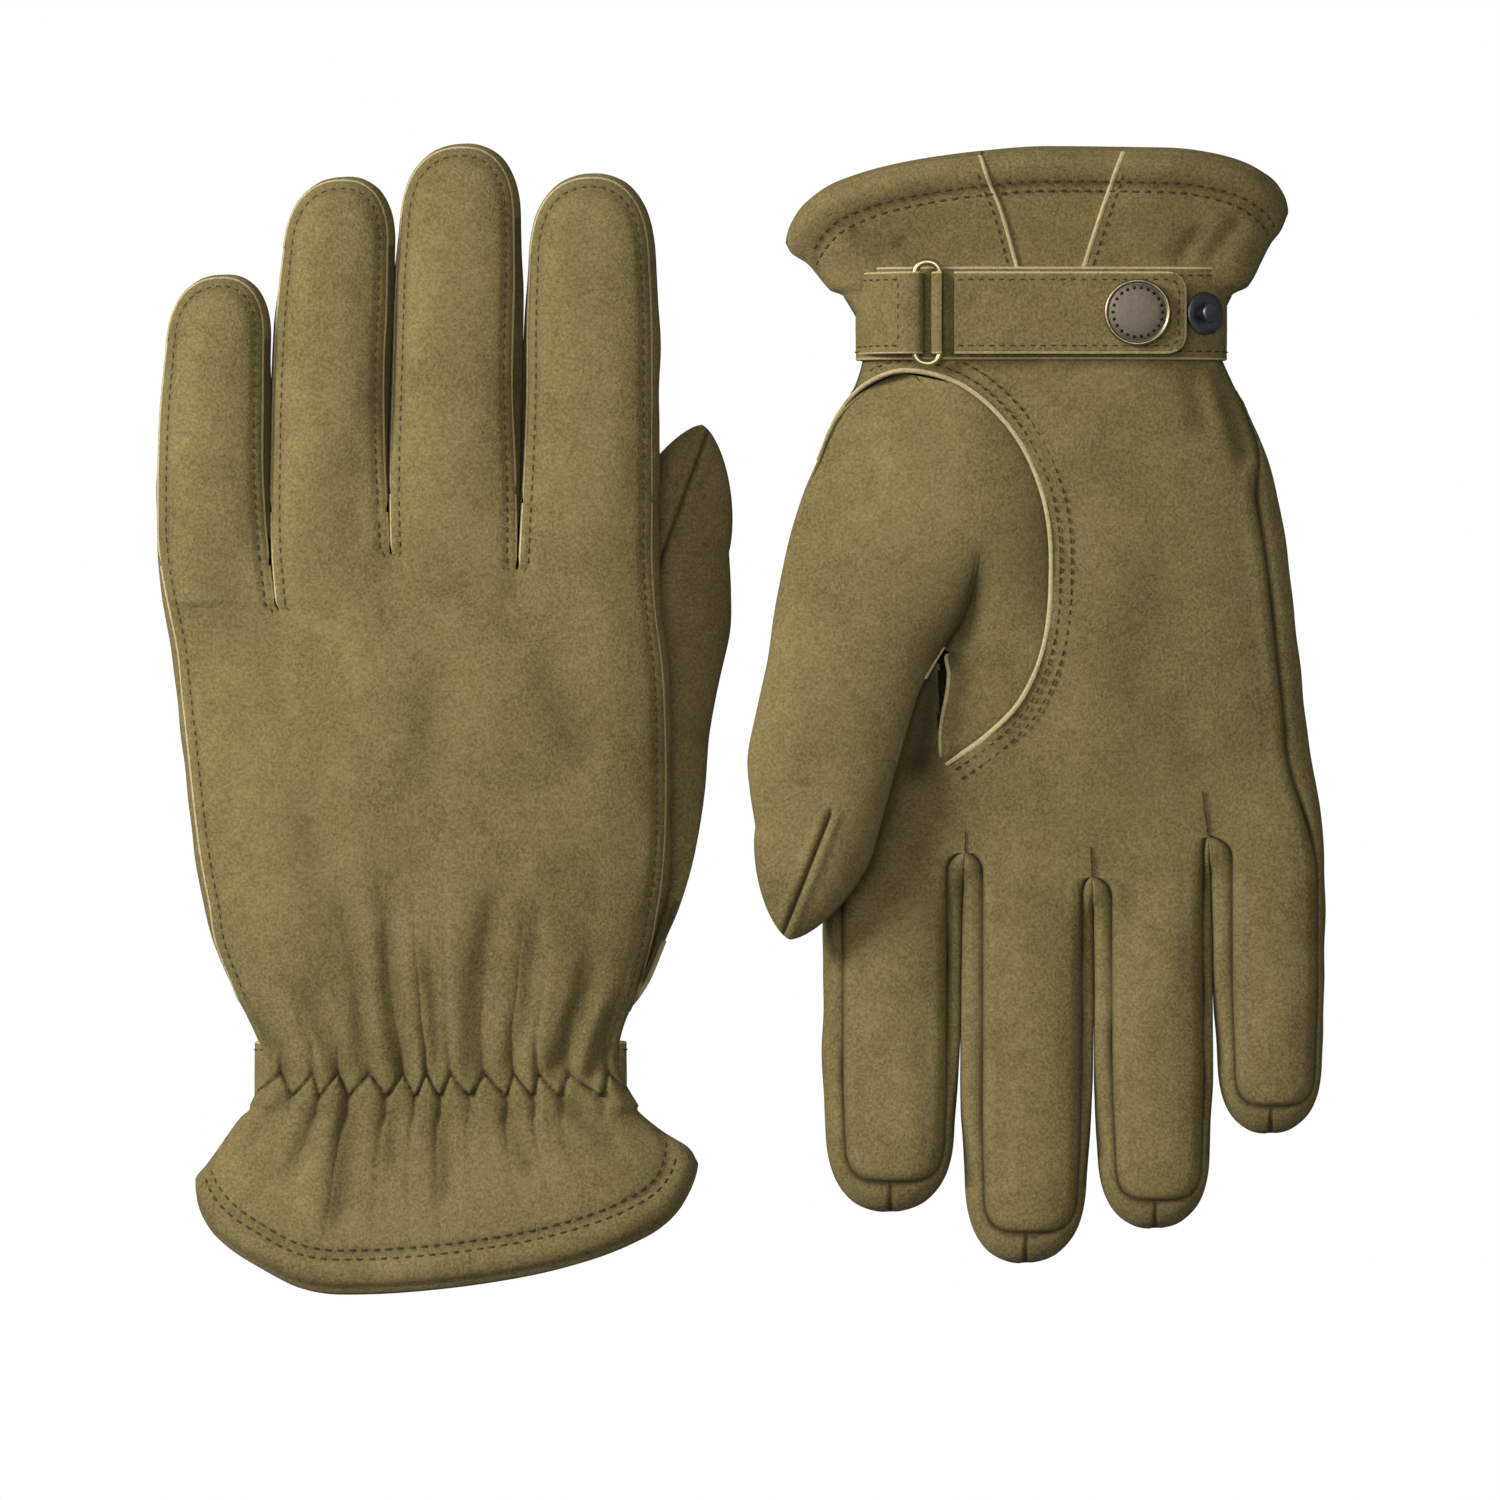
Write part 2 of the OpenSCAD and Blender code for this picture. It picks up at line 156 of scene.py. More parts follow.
# how far open the slit is at y: the palm side starts with a round end, the back side with a point
def slitOpen(k, y, side):
    if side > 0:
        gap = y - slits[k]["back"]
        return 0.3 * np.sqrt(np.clip(gap / 1.6, 0, 1)) + 0.7 * ease(gap / hand["backGap"])
    t = np.clip((y - slits[k]["palm"]) / 4.2, 0, 1)
    return np.sqrt(1 - (1 - t)**2)


def slitStart(k, side):
    return slits[k]["back" if side > 0 else "palm"]


def rhoAt(side):
    deep = hand["backSeam"] if side > 0 else hand["palmSeam"]
    return crown(deep / hand["fingerT"], hand["power"])


# a panel's edge on one finger: x and height, for the edge on the low or the high side
def panelEdge(i, y, side, high):
    f = fingers[i]
    sign = 1 if high else -1
    offset = sign * rhoAt(side) + hand["backShift" if side > 0 else "palmShift"] / f["w"]
    offset = np.clip(offset, -0.985, 0.985)
    seat = f["x"] + f["w"] * offset
    deep = hand["fingerT"] * crown(offset, hand["power"])
    outer = isOuter(i, high)
    if outer:
        lo, hi = handEdges(y)
        depth = seamDepth(y, side)
        rho = crown(depth / through(y, halfThick), through(y, sectionPower))
        onHand = (lo + hi) / 2 + sign * (hi - lo) / 2 * rho
        b = ease((y - 95) / 32)
        return mix(onHand, seat, b), mix(depth, deep, b)
    k = i if high else i - 1
    s = slitOpen(k, y, side)
    x = mix(slitX(k, y), seat, s)
    start = slitStart(k, side)
    at = 7.6 if side > 0 else 8.6
    b = ease((y - (start - 34)) / 34)**1.4
    below = mix(handZ(slitX(k, y), y), at, b)
    return x, np.where(y < start, below, mix(at, deep, ease((y - start) / (40 if side > 0 else 16))))


def valley(k, y, side):
    before, span = (12, 38) if side > 0 else (4, 26)
    return ease((y - (slitStart(k, side) - before)) / span)


# height of a panel above the middle of the hand, at fraction c (-1..1) of the strip over finger i
def panelHeight(i, c, y, side):
    x0, z0 = panelEdge(i, y, side, False)
    x1, z1 = panelEdge(i, y, side, True)
    x = mix(x0, x1, (c + 1) / 2)
    b0 = valley(i - 1 if i > 0 else 0, y, side)
    b1 = valley(i if i < 3 else 2, y, side)
    b = mix(b0, b1, (c + 1) / 2)
    rho, n = rhoAt(side), hand["power"]
    low = crown(rho, n)
    dome = (crown(c * rho, n) - low) / (1 - low)
    share = (c + 1) / 2
    rest = mix(z0, z1, share)
    onHand = handZ(x, y) + mix(z0 - handZ(x0, y), z1 - handZ(x1, y), ease(share))
    top = mix(10.6, hand["fingerT"], ease((y - 112) / 30))
    return x, mix(onHand, rest + (top - rest) * dome, b)


# soft unevenness of the leather, the same for every piece that passes a place
waves = [(rng.uniform(0, 6.28), rng.uniform(0, 6.28), rng.uniform(0.10, 0.42), rng.uniform(0.4, 1.0))
         for wave in range(14)]


def uneven(x, y, amount=0.22):
    total = 0
    for turn, phase, rate, size in waves:
        along = x * math.cos(turn) + y * math.sin(turn)
        total = total + size * np.sin(rate * along + phase) / (1 + rate * 6)
    return total * amount


# gathers at the wrist elastic: ridges above and below a zigzag line, half a pitch apart, fading away from it,
# with painted shade along the zigzag's crease and in the hollows between the ridges
pleat = {"pitch": 6.5, "zig": 2.3, "high": 2.3, "crease": 1.2}
foldUp = rng.uniform(0.55, 1.25, 40)
foldDown = rng.uniform(0.6, 1.25, 40)
reachUp = rng.uniform(8, 24, 40)
reachDown = rng.uniform(8, 22, 40)


def gathers(x, y):
    lo, hi = handEdges(y)
    across = (x - (lo + hi) / 2) / ((hi - lo) / 2)
    u = across * 37.2 / pleat["pitch"] + 0.35 * np.sin(across * 2.2) + 0.13 * np.sin(across * 11 + 1)
    k = np.round(u).astype(int)
    v = u + 0.5
    j = np.round(v).astype(int)
    zig = pleat["zig"] * (1 - 4 * np.abs(u - k)) * -1
    above = y - zig
    crestUp, crestDown = np.abs(np.cos(np.pi * (u - k))), np.abs(np.cos(np.pi * (v - j)))
    ridgeUp = crestUp**0.75 * foldUp[k + 20] * np.exp(-np.clip(above, 0, None) / reachUp[k + 20])
    ridgeDown = crestDown**0.75 * foldDown[j + 20] * np.exp(np.clip(above, None, 0) / reachDown[j + 20])
    side = np.clip(1.12 - np.abs(across), 0, 0.2) / 0.2
    lift = np.where(above > 0, ridgeUp, ridgeDown) * pleat["high"]
    crease = pleat["crease"] * np.exp(-np.abs(above) / 0.7)
    dip = 0.9 * np.exp(-(y / 8)**2)
    # painted shade: a dark line along the zigzag crease and darkening in the hollows between the ridges
    shade = 0.95 * np.exp(-(np.abs(above) / 0.2)**2) + 0.32 * np.exp(-np.abs(above) / 0.9)
    hollowShade = np.where(above > 0, 1 - crestUp, 1 - crestDown)
    shade = shade + 0.5 * hollowShade**1.5 * np.exp(-np.abs(above) / 5.0)
    return (lift - crease - dip) * side, shade * side


# long soft folds of the leather: where each starts and ends, how deep and how wide it is
backFolds = [
    (23.5, 98, 33.6, 73, 1.2, 4.5), (-11.2, 44, -6.7, 3, 1.9, 2.6), (-31, 24, -20.2, 2, 1.6, 2.4),
    (14.6, 48, 7.8, 4, 1.4, 3.2), (37, 30, 27, 4, 2.0, 2.8), (42, 19, 34.7, 2, 1.6, 2.0),
    (-28, 70, -22.4, 20, 1.1, 5.0), (1.1, 100, -1.1, 66, 0.7, 6.0), (-40, 16, -31, 2, 1.5, 2.0),
    (-20, 46, -15, 3, 1.2, 2.6), (24, 42, 17.5, 4, 1.3, 2.6), (-1, 34, 0.5, 5, 1.0, 2.0),
]
cuffFolds = [
    (-19, -3, -21, -31, 2.0, 3.0), (-25, -3, -33, -19, 1.3, 2.4), (1, -3, 4, -24, 1.4, 2.6),
    (16, -3, 23, -18, 1.4, 2.4), (28, -2, 41, -12, 1.6, 2.2), (-32, -2, -43, -12, 1.5, 2.2),
    (-8, -3, -9, -17, 1.1, 2.2),
]
palmFolds = [
    (-37, 11, -45, 32, 1.6, 2.4), (-31, 11, -35, 27, 1.0, 3.0), (-23, 55, -20.6, 87, 0.7, 6.0),
    (-36, -10, -43, -21, 1.7, 2.4), (-29, -10, -34, -19, 1.1, 2.2), (35, -10, 44, -18, 1.5, 2.4),
    (27, -10, 33, -16, 0.9, 2.2),
    (6, 100, 10, 70, 0.8, 6.0), (-35, 108, -28, 88, 0.8, 5.0),
]
# the dark places on the palm where the thumb keeps the light off
slitShadow = [(26, 75, 28, 103, 1.0, 4.2)]
thumbShadow = [(30, 98, 42, 126, 1.0, 5.0)]


def foldDip(x, y, folds):
    dip = 0
    for x0, y0, x1, y1, deep, wide in folds:
        span = math.hypot(x1 - x0, y1 - y0)
        ux, uy = (x1 - x0) / span, (y1 - y0) / span
        along = (x - x0) * ux + (y - y0) * uy
        off = (x - x0) * uy - (y - y0) * ux + 0.8 * np.sin(along * 0.13 + x0)
        ends = ease((along + span * 0.12) / (span * 0.45)) * (1 - ease((along - span * 0.9) / (span * 0.3)))
        dip = dip + deep * ends * np.exp(-(off / wide)**2)
    return dip


# places across a strip from -1 to 1, closer together at its edges
def columns(count, spread):
    u = np.linspace(-1, 1, count)
    return np.sin(u * np.pi / 2 * spread) / math.sin(math.pi / 2 * spread)


# points with a fourth number: how much painted shade the place gets, in a seam or a fold
def stack(x, y, z, shade=0.0):
    return np.stack(np.broadcast_arrays(x, y, z, shade), -1)


# where a finger's rounded end starts, and how long it is
def tipStart(i):
    f = fingers[i]
    length = f["w"] * 1.2
    return f["tip"] - length, length


def seamDip(dist, deep, wide):
    return deep * np.exp(-(dist / wide)**2)


# the surface of a back or palm panel over finger i, as a grid of rows along the finger
def stripGrid(i, rows, c, side):
    y = np.asarray(rows, float)[:, None]
    c = np.asarray(c, float)[None, :]
    x, h = panelHeight(i, c, y, side)
    x0, x1 = panelEdge(i, y, side, False)[0], panelEdge(i, y, side, True)[0]
    return finishHeight(x, y + 0 * x, h, np.minimum(*edgeDistance(i, x, y, x0, x1, side)), side)


# distance to the two edges of a strip, far where there is no seam there
def edgeDistance(i, x, y, x0, x1, side):
    far = 30.0
    left, right = x - x0, x1 - x
    if i > 0:
        left = left + far * (1 - ease((y - slitStart(i - 1, side) + 0.2) / 0.25))
    if i < 3:
        right = right + far * (1 - ease((y - slitStart(i, side) + 0.2) / 0.25))
    return left, right


# adds a panel's small shapes to its height: seams, gathers, folds and the valleys between the fingers, with
# painted shade in the seams, gathers and folds and where the thumb shades the palm
def finishHeight(x, y, h, dist, side):
    h = h + uneven(x, y) * np.clip(dist / 6, 0, 1) * 1.6
    shade = 0
    if side > 0:
        h = h + 0.35 - seamDip(dist - 1.9, 0.28, 0.8)
        pucker, shade = gathers(x, y - 0.7)
        dip = foldDip(x, y, backFolds + cuffFolds)
        h = h + pucker - dip
        # painted shade in the folds and beside the seams
        shade = shade + 0.16 * dip + 0.22 * seamDip(dist - 1.9, 1, 0.7)
        for k, slit in enumerate(slits):
            fade = ease((y - 70) / 45) * (1 - ease((y - slit["back"]) / 3))
            h = h - 0.5 * fade * np.exp(-((x - slitX(k, y)) / 4.2)**2)
    else:
        dip = foldDip(x, y, palmFolds)
        # painted shade: dark along the seam and where the thumb shades the palm
        under = 0.95 * foldDip(x, y, slitShadow) + 0.45 * foldDip(x, y, thumbShadow)
        h = h - seamDip(dist, 0.95, 0.55) + seamDip(dist - 2.4, 0.25, 1.4) - dip
        shade = 0.95 * seamDip(dist, 1, 0.3) + 0.3 * seamDip(dist, 1, 1.0) + 0.16 * dip + under
    return stack(x, y, side * h + middle(y), shade)


# a fingertip's height above its middle, at offsets given as shares of its half width and length
def tipHeight(across, q):
    n = hand["power"]
    return hand["fingerT"] * np.clip(1 - np.abs(across)**n - np.abs(q)**n, 0, 1)**(1 / n)


# the palm panel ends squarer and earlier than the back one
tipForm = {1: {"n": 2.3, "end": None}, -1: {"n": 3.4, "end": 0.62}}


# a fingertip panel's outline: its half width, its shift, its length and its two edges, as shares
def tipOutline(i, side):
    rho = rhoAt(side)
    shift = hand["backShift" if side > 0 else "palmShift"] / fingers[i]["w"]
    low, high = np.clip(shift - rho, -0.985, 0), np.clip(shift + rho, 0, 0.985)
    return rho, shift, tipForm[side]["end"] or rho, low, high


# the height of a fingertip's panel; the back one never sinks far below its seam
def tipLevel(across, q, side):
    h = tipHeight(across, q)
    return mix(h, np.maximum(h, hand["backSeam"] + 0 * h), 0.6) if side > 0 else h


# the rounded end of a panel: rows shrink towards its tip
def tipGrid(i, shares, c, side):
    f = fingers[i]
    power = tipForm[side]["n"]
    start, length = tipStart(i)
    rho, shift, end, low, high = tipOutline(i, side)
    q = np.asarray(shares, float)[:, None] * end
    c = np.asarray(c, float)[None, :]
    half = rho * np.clip(1 - (q / end)**power, 0, 1)**(1 / power)
    across = mix(low, high, (c + 1) / 2) * half / rho
    reach = (np.abs(across - shift)**power / rho**power + (q / end)**power)**(1 / power)
    dist = f["w"] * rho * (1 - reach)
    x, y = f["x"] + f["w"] * across, start + length * q + 0 * across
    return finishHeight(x, y, tipLevel(across, q, side), dist, side)


# the border of a fingertip's panel at turns round the tip, or a line running some way inside it
def tipBorder(i, turns, side, inset=0.0):
    f = fingers[i]
    power = tipForm[side]["n"]
    start, length = tipStart(i)
    end, low, high = tipOutline(i, side)[2:]
    reach = np.abs(np.cos(turns))**(2 / power)
    across = np.where(np.cos(turns) > 0, low + inset / f["w"], high - inset / f["w"]) * reach
    q = (end - inset / length) * np.abs(np.sin(turns))**(2 / power)
    x, y = f["x"] + f["w"] * across, start + length * q
    return finishHeight(x, y, tipLevel(across, q, side), inset + 0 * q, side)


# the side wall of a finger, as a ribbon from the palm seam (t 0) to the back seam (t 1)
def ribbonSide(i, rows, t, high):
    f = fingers[i]
    y = np.asarray(rows, float)[:, None]
    t = np.asarray(t, float)[None, :]
    sign = 1 if high else -1
    xp, zp = panelEdge(i, y, -1, high)
    xb, zb = panelEdge(i, y, 1, high)
    z = mix(-zp, zb, t) + 0 * y
    x = f["x"] + sign * f["w"] * crown(z / hand["fingerT"], hand["power"])
    outer = isOuter(i, high)
    if outer:
        lo, hi = handEdges(y)
        zHand = mix(-seamDepth(y, -1), seamDepth(y, 1), t)
        rho = crown(zHand / through(y, halfThick), through(y, sectionPower))
        onHand = (lo + hi) / 2 + sign * (hi - lo) / 2 * rho
        x = mix(onHand, x, ease((y - 95) / 32))
    x = x + (1 - t)**2 * (xp - x[:, :1]) + t * (xb - x[:, -1:])
    belly = np.sin(np.pi * np.clip(t, 0, 1))
    dip = seamDip(t * 11, 1.0, 0.7)
    still = 1 - ease((y - tipStart(i)[0] + 14) / 13)
    x = x + sign * (0.35 * belly - 0.3 * dip) + uneven(y * 1.3, z * 2 + 40 * i) * still
    # painted shade along the seam at the foot of the wall
    shade = 0.95 * seamDip(t * 11, 1, 0.35) + 0.3 * dip
    if not outer:
        # between the fingers the walls meet, and where the slit starts they close into one puffed web
        k = i if high else i - 1
        wall = slitX(k, y)
        meet = ease(np.clip(belly, 0, 1) * 1.5) * (1 - ease((y - tipStart(i)[0] + 24) / 23))
        x = mix(x, wall + 0 * x, 0.96 * meet)
        start = slitStart(k, -1)
        web = 1 - ease((y - start - 2) / 9)
        shelf = np.clip(t / 0.3, 0, 1)
        shelfX = mix(xp, wall, shelf)
        shelfZ = -zp - 1.0 * np.sin(np.pi * shelf * 0.62) + np.clip(t - 0.3, 0, 1) / 0.7 * (zb + zp)
        x, z = mix(x, shelfX, web), mix(z, shelfZ, web)
        # short of the palm's U the wall's foot stays inside the palm
        z = z + 1.6 * np.clip(1 - t / 0.4, 0, 1) * (1 - ease((y - start + 0.25) / 0.25))
        x = np.minimum(x, wall - 0.03) if high else np.maximum(x, wall + 0.03)
        # painted shade on the upper walls inside the slits between the fingers
        shade = shade + 0.75 * ease(t / 0.25 - 0.4) * (1 - web)
    z = z + 0.6 * dip
    return stack(x, y, z + middle(y), shade)


# the same wall carried round the fingertip
def ribbonTip(i, turns, t):
    f = fingers[i]
    n = hand["power"]
    start, length = tipStart(i)
    a = np.asarray(turns, float)[:, None]
    t = np.asarray(t, float)[None, :]
    dx = -np.sign(np.cos(a)) * np.abs(np.cos(a))**(2 / n)
    dq = np.abs(np.sin(a))**(2 / n)
    form = tipForm[-1]
    rp, shift = rhoAt(-1), hand["palmShift"] / f["w"]
    power = form["n"]
    low = 1 / ((np.abs(dx) / (rp + np.sign(dx) * shift))**power + (dq / form["end"])**power)**(1 / power)
    zLow = -hand["fingerT"] * np.clip(1 - low**n, 0, 1)**(1 / n)
    rb, back = rhoAt(1), hand["backShift"] / f["w"]
    zHigh = hand["fingerT"] * crown(np.clip(rb + back * np.sign(dx) * np.abs(dx), 0, 0.985), n)
    z = mix(zLow, zHigh, t)
    rho = crown(z / hand["fingerT"], n)
    dist = t * 11
    pleats = 0.13 * np.sin(a * 11 + i) * np.sin(a)**2 * t
    rho = rho + (0.35 * np.sin(np.pi * np.clip(t, 0, 1)) - 0.3 * seamDip(dist, 1.0, 0.7) + pleats) / f["w"]
    x = f["x"] + f["w"] * rho * dx
    y = start + length * rho * dq
    z = z + 0.6 * seamDip(dist, 1.0, 0.7)
    pinch = np.exp(-((a - np.pi / 2) / 0.035)**2) * ease(t / 0.1 + 0.5) * (1 - ease((t - 0.55) / 0.2))
    y = y - 0.5 * pinch
    # painted shade along the seam and in the pinched crease at the fingertip
    shade = 0.95 * seamDip(dist, 1, 0.35) + 0.3 * seamDip(dist, 1, 0.9) + 0.9 * pinch
    z = z + middle(y)
    # its upper edge lies just under the back panel's border
    border = tipBorder(i, np.asarray(turns, float), 1)[:, None, :]
    x = x + t**2 * (border[..., 0] - x[:, -1:])
    y = y + t**2 * (border[..., 1] - y[:, -1:])
    z = z + t**2 * (border[..., 2] - 0.35 - z[:, -1:])
    return stack(x, y, z, shade)


# pieces of mesh gathered for one object: grids with a material number for each
def gridFaces(rows, cols, start, flip):
    a = (np.arange(rows - 1)[:, None] * cols + np.arange(cols - 1)[None, :]).ravel() + start
    quads = np.stack([a, a + 1, a + cols + 1, a + cols], 1)
    return quads[:, ::-1] if flip else quads


def newShape():
    return {"points": [], "faces": [], "slots": [], "count": 0}


def addGrid(shape, grid, slot=0, flip=False, keep=None):
    rows, cols = grid.shape[:2]
    if grid.shape[2] == 3:
        grid = np.concatenate([grid, np.zeros((rows, cols, 1))], 2)
    faces = gridFaces(rows, cols, shape["count"], flip)
    if keep is not None:
        faces = faces[keep]
    shape["points"].append(grid.reshape(-1, 4))
    shape["faces"].append(faces)
    shape["slots"].append(np.broadcast_to(slot, len(faces)))
    shape["count"] += rows * cols


# puts the gathered grids into one object, welding points that meet and dropping empty faces
def makeObject(name, shape, place, looks, weld=0.004):
    points = np.concatenate(shape["points"])
    faces = np.concatenate(shape["faces"])
    slots = np.concatenate(shape["slots"])
    key = np.round(points[:, :3] / weld).astype(np.int64)
    first, back = np.unique(key, axis=0, return_index=True, return_inverse=True)[1:]
    points, faces = points[first], back.reshape(-1)[faces]
    same = (faces == np.roll(faces, 1, 1)).sum(1)
    good = same <= 1
    faces, slots, same = faces[good], slots[good], same[good]
    used = np.unique(faces)
    renumber = np.zeros(len(points), int)
    renumber[used] = np.arange(len(used))
    points, faces = points[used], renumber[faces]
    world = place["origin"] + place["sign"] * points[:, :3] * mm
    if place["sign"] < 0:
        faces = faces[:, ::-1]
    lists = []
    for face, doubled in zip(faces.tolist(), same.tolist()):
        lists.append(list(dict.fromkeys(face)) if doubled else face)
    mesh = bpy.data.meshes.new(name)
    mesh.from_pydata(world.tolist(), [], lists)
    for look in looks:
        mesh.materials.append(look)
    mesh.polygons.foreach_set("material_index", slots.astype(np.int32))
    mesh.polygons.foreach_set("use_smooth", np.ones(len(lists), bool))
    # the fourth number goes on each point as the painted shade attribute
    shade = mesh.attributes.new("shade", "FLOAT", "POINT")
    shade.data.foreach_set("value", np.clip(points[:, 3], 0, 1).astype(np.float32))
    mesh.update()
    piece = bpy.data.objects.new(name, mesh)
    bpy.context.scene.collection.objects.link(piece)
    return piece


# a piece that rides on one body and stands for the CAD nodes named; all names go without the glove's side
def addRider(glove, name, shape, looks, body, replaced):
    side = glove["side"]
    piece = makeObject(f"{side}_{name}", shape, glove, looks)
    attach(piece, f"{side}_{body}")
    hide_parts(*[f"{side}_{part}" for part in replaced])


# an edge of cut leather along a grid's border: a slanting strip from its upper corner to its lower one
def addRim(shape, border, outward, drop, slot=1, flip=False):
    border = border[:, :3]
    shares = np.array([0.0, 0.35, 0.75, 1.0])
    lift = np.array([0.0, -0.12, -0.55, -1.0])
    grid = border[:, None, :] + outward[:, None, :] * shares[None, :, None] * 0.5
    grid = grid + drop[:, None, :] * lift[None, :, None] * -1.0
    addGrid(shape, grid, slot, flip)


def unit(v):
    return v / np.maximum(np.linalg.norm(v, axis=-1, keepdims=True), 1e-9)


# evenly spaced places along a path, with the direction and the surface's normal at each
def alongPath(path, normals, step, offset=0.0):
    length = np.concatenate([[0], np.cumsum(np.linalg.norm(np.diff(path, axis=0), axis=1))])
    at = np.arange(offset + step / 2, length[-1] - step / 3, step)
    spot = np.stack([np.interp(at, length, path[:, k]) for k in range(3)], 1)
    ahead = np.stack([np.interp(at + 0.3, length, path[:, k]) for k in range(3)], 1)
    behind = np.stack([np.interp(at - 0.3, length, path[:, k]) for k in range(3)], 1)
    up = np.stack([np.interp(at, length, normals[:, k]) for k in range(3)], 1)
    return spot, unit(ahead - behind), unit(up)


# sewing stitches: short round-backed dashes that sink into the leather at both ends
stitch = {"step": 2.3, "long": 1.45, "wide": 0.4, "high": 0.22}


def addStitches(shape, path, normals, slot=2, step=None, long=None, wide=None):
    path = path[:, :3]
    step = step or stitch["step"]
    spot, ahead, up = alongPath(path, normals, step)
    if len(spot) == 0:
        return
    across = unit(np.cross(ahead, up))
    shares = np.array([-0.5, -0.3, 0.3, 0.5])
    rise = np.array([-0.5, 0.8, 0.8, -0.5])
    narrow = np.array([0.45, 1.0, 1.0, 0.45])
    turn = np.array([0.0, 0.9, 2.2, 3.1416])
    length = (long or stitch["long"]) * rng.uniform(0.9, 1.1, len(spot))
    width = wide or stitch["wide"]
    for n in range(len(spot)):
        along = spot[n] + ahead[n] * (shares * length[n])[:, None]
        spread = (np.cos(turn)[None, :] * narrow[:, None] * width / 2)[..., None]
        ring = (along[:, None, :] + across[n] * spread
                + up[n] * ((np.sin(turn)[None, :] * stitch["high"] * 1.6 - 0.12)
                           + stitch["high"] * (rise[:, None] - 0.4))[..., None])
        addGrid(shape, ring, slot)


print("stage: shapes ready")


# a new material with its tree's nodes, links and shader
def newMaterial(name):
    m = bpy.data.materials.new(name)
    m.use_nodes = True
    tree = m.node_tree
    return m, tree.nodes, tree.links, tree.nodes["Principled BSDF"]


# a node with its settings; in_Some_Name sets the socket Some Name
def node(nodes, kind, **values):
    made = nodes.new(kind)
    for key, value in values.items():
        if key.startswith("in_"):
            made.inputs[key[3:].replace("_", " ")].default_value = value
        else:
            setattr(made, key, value)
    return made


# nap of brushed leather: patches of colour and a fine grain, from a place on the object, and painted shade:
# the colour is mixed towards near black by the mesh's shade attribute
def napAndPaintedShade():
    g = bpy.data.node_groups.new("napAndPaintedShade", "ShaderNodeTree")
    for socket, way, kind in (("Base", "INPUT", "Color"), ("Dark", "INPUT", "Color"),
                              ("Light", "INPUT", "Color"),
                              ("Grain", "INPUT", "Float"), ("Color", "OUTPUT", "Color"),
                              ("Height", "OUTPUT", "Float"), ("Roughness", "OUTPUT", "Float")):
        g.interface.new_socket(socket, in_out=way, socket_type="NodeSocket" + kind)
    n, link = g.nodes, g.links.new
    inputs, outputs = n.new("NodeGroupInput"), n.new("NodeGroupOutput")
    place = n.new("ShaderNodeTexCoord")
    patches = node(n, "ShaderNodeTexNoise", in_Scale=38.0, in_Detail=3.0, in_Roughness=0.55)
    brushed = node(n, "ShaderNodeTexNoise", in_Scale=190.0, in_Detail=3.0, in_Roughness=0.6,
                   in_Distortion=0.6)
    fine = node(n, "ShaderNodeTexNoise", in_Scale=1500.0, in_Detail=3.0, in_Roughness=0.75)
    speck = node(n, "ShaderNodeTexNoise", in_Scale=3600.0, in_Detail=2.0, in_Roughness=0.7)
    for t in (patches, brushed, fine, speck):
        link(place.outputs["Object"], t.inputs["Vector"])
    patchRamp = node(n, "ShaderNodeMapRange", in_From_Min=0.34, in_From_Max=0.66)
    brushRamp = node(n, "ShaderNodeMapRange", in_From_Min=0.3, in_From_Max=0.7)
    fineRamp = node(n, "ShaderNodeMapRange", in_From_Min=0.36, in_From_Max=0.64)
    link(patches.outputs["Fac"], patchRamp.inputs["Value"])
    link(brushed.outputs["Fac"], brushRamp.inputs["Value"])
    link(fine.outputs["Fac"], fineRamp.inputs["Value"])
    first = node(n, "ShaderNodeMath", operation="MULTIPLY_ADD")
    first.inputs[1].default_value = 0.22
    first.inputs[2].default_value = 0.06
    link(patchRamp.outputs["Result"], first.inputs[0])
    second = node(n, "ShaderNodeMath", operation="MULTIPLY_ADD")
    second.inputs[1].default_value = 0.20
    link(brushRamp.outputs["Result"], second.inputs[0])
    link(first.outputs[0], second.inputs[2])
    third = node(n, "ShaderNodeMath", operation="MULTIPLY_ADD")
    link(fineRamp.outputs["Result"], third.inputs[0])
    link(inputs.outputs["Grain"], third.inputs[1])
    link(second.outputs[0], third.inputs[2])
    toDark = node(n, "ShaderNodeMix", data_type="RGBA")
    link(third.outputs[0], toDark.inputs["Factor"])
    link(inputs.outputs["Light"], toDark.inputs["A"])
    link(inputs.outputs["Dark"], toDark.inputs["B"])
    toBase = node(n, "ShaderNodeMix", data_type="RGBA")
    toBase.inputs["Factor"].default_value = 0.12
    link(toDark.outputs["Result"], toBase.inputs["A"])
    link(inputs.outputs["Base"], toBase.inputs["B"])
    # painted shade: the shade attribute darkens the colour towards near black in seams, folds and creases
    mask = node(n, "ShaderNodeAttribute", attribute_name="shade")
    depth = node(n, "ShaderNodeMath", operation="MULTIPLY")
    depth.inputs[1].default_value = 0.86
    link(mask.outputs["Fac"], depth.inputs[0])
    hollowShade = node(n, "ShaderNodeMix", data_type="RGBA")
    hollowShade.inputs["B"].default_value = (0.028, 0.022, 0.009, 1)
    link(depth.outputs[0], hollowShade.inputs["Factor"])
    link(toBase.outputs["Result"], hollowShade.inputs["A"])
    link(hollowShade.outputs["Result"], outputs.inputs["Color"])
    total = node(n, "ShaderNodeMath", operation="MULTIPLY_ADD")
    total.inputs[1].default_value = 0.6
    link(speck.outputs["Fac"], total.inputs[0])
    link(fine.outputs["Fac"], total.inputs[2])
    link(total.outputs[0], outputs.inputs["Height"])
    rough = node(n, "ShaderNodeMapRange", in_To_Min=0.86, in_To_Max=0.98)
    link(brushRamp.outputs["Result"], rough.inputs["Value"])
    link(rough.outputs["Result"], outputs.inputs["Roughness"])
    return g


nap = napAndPaintedShade()


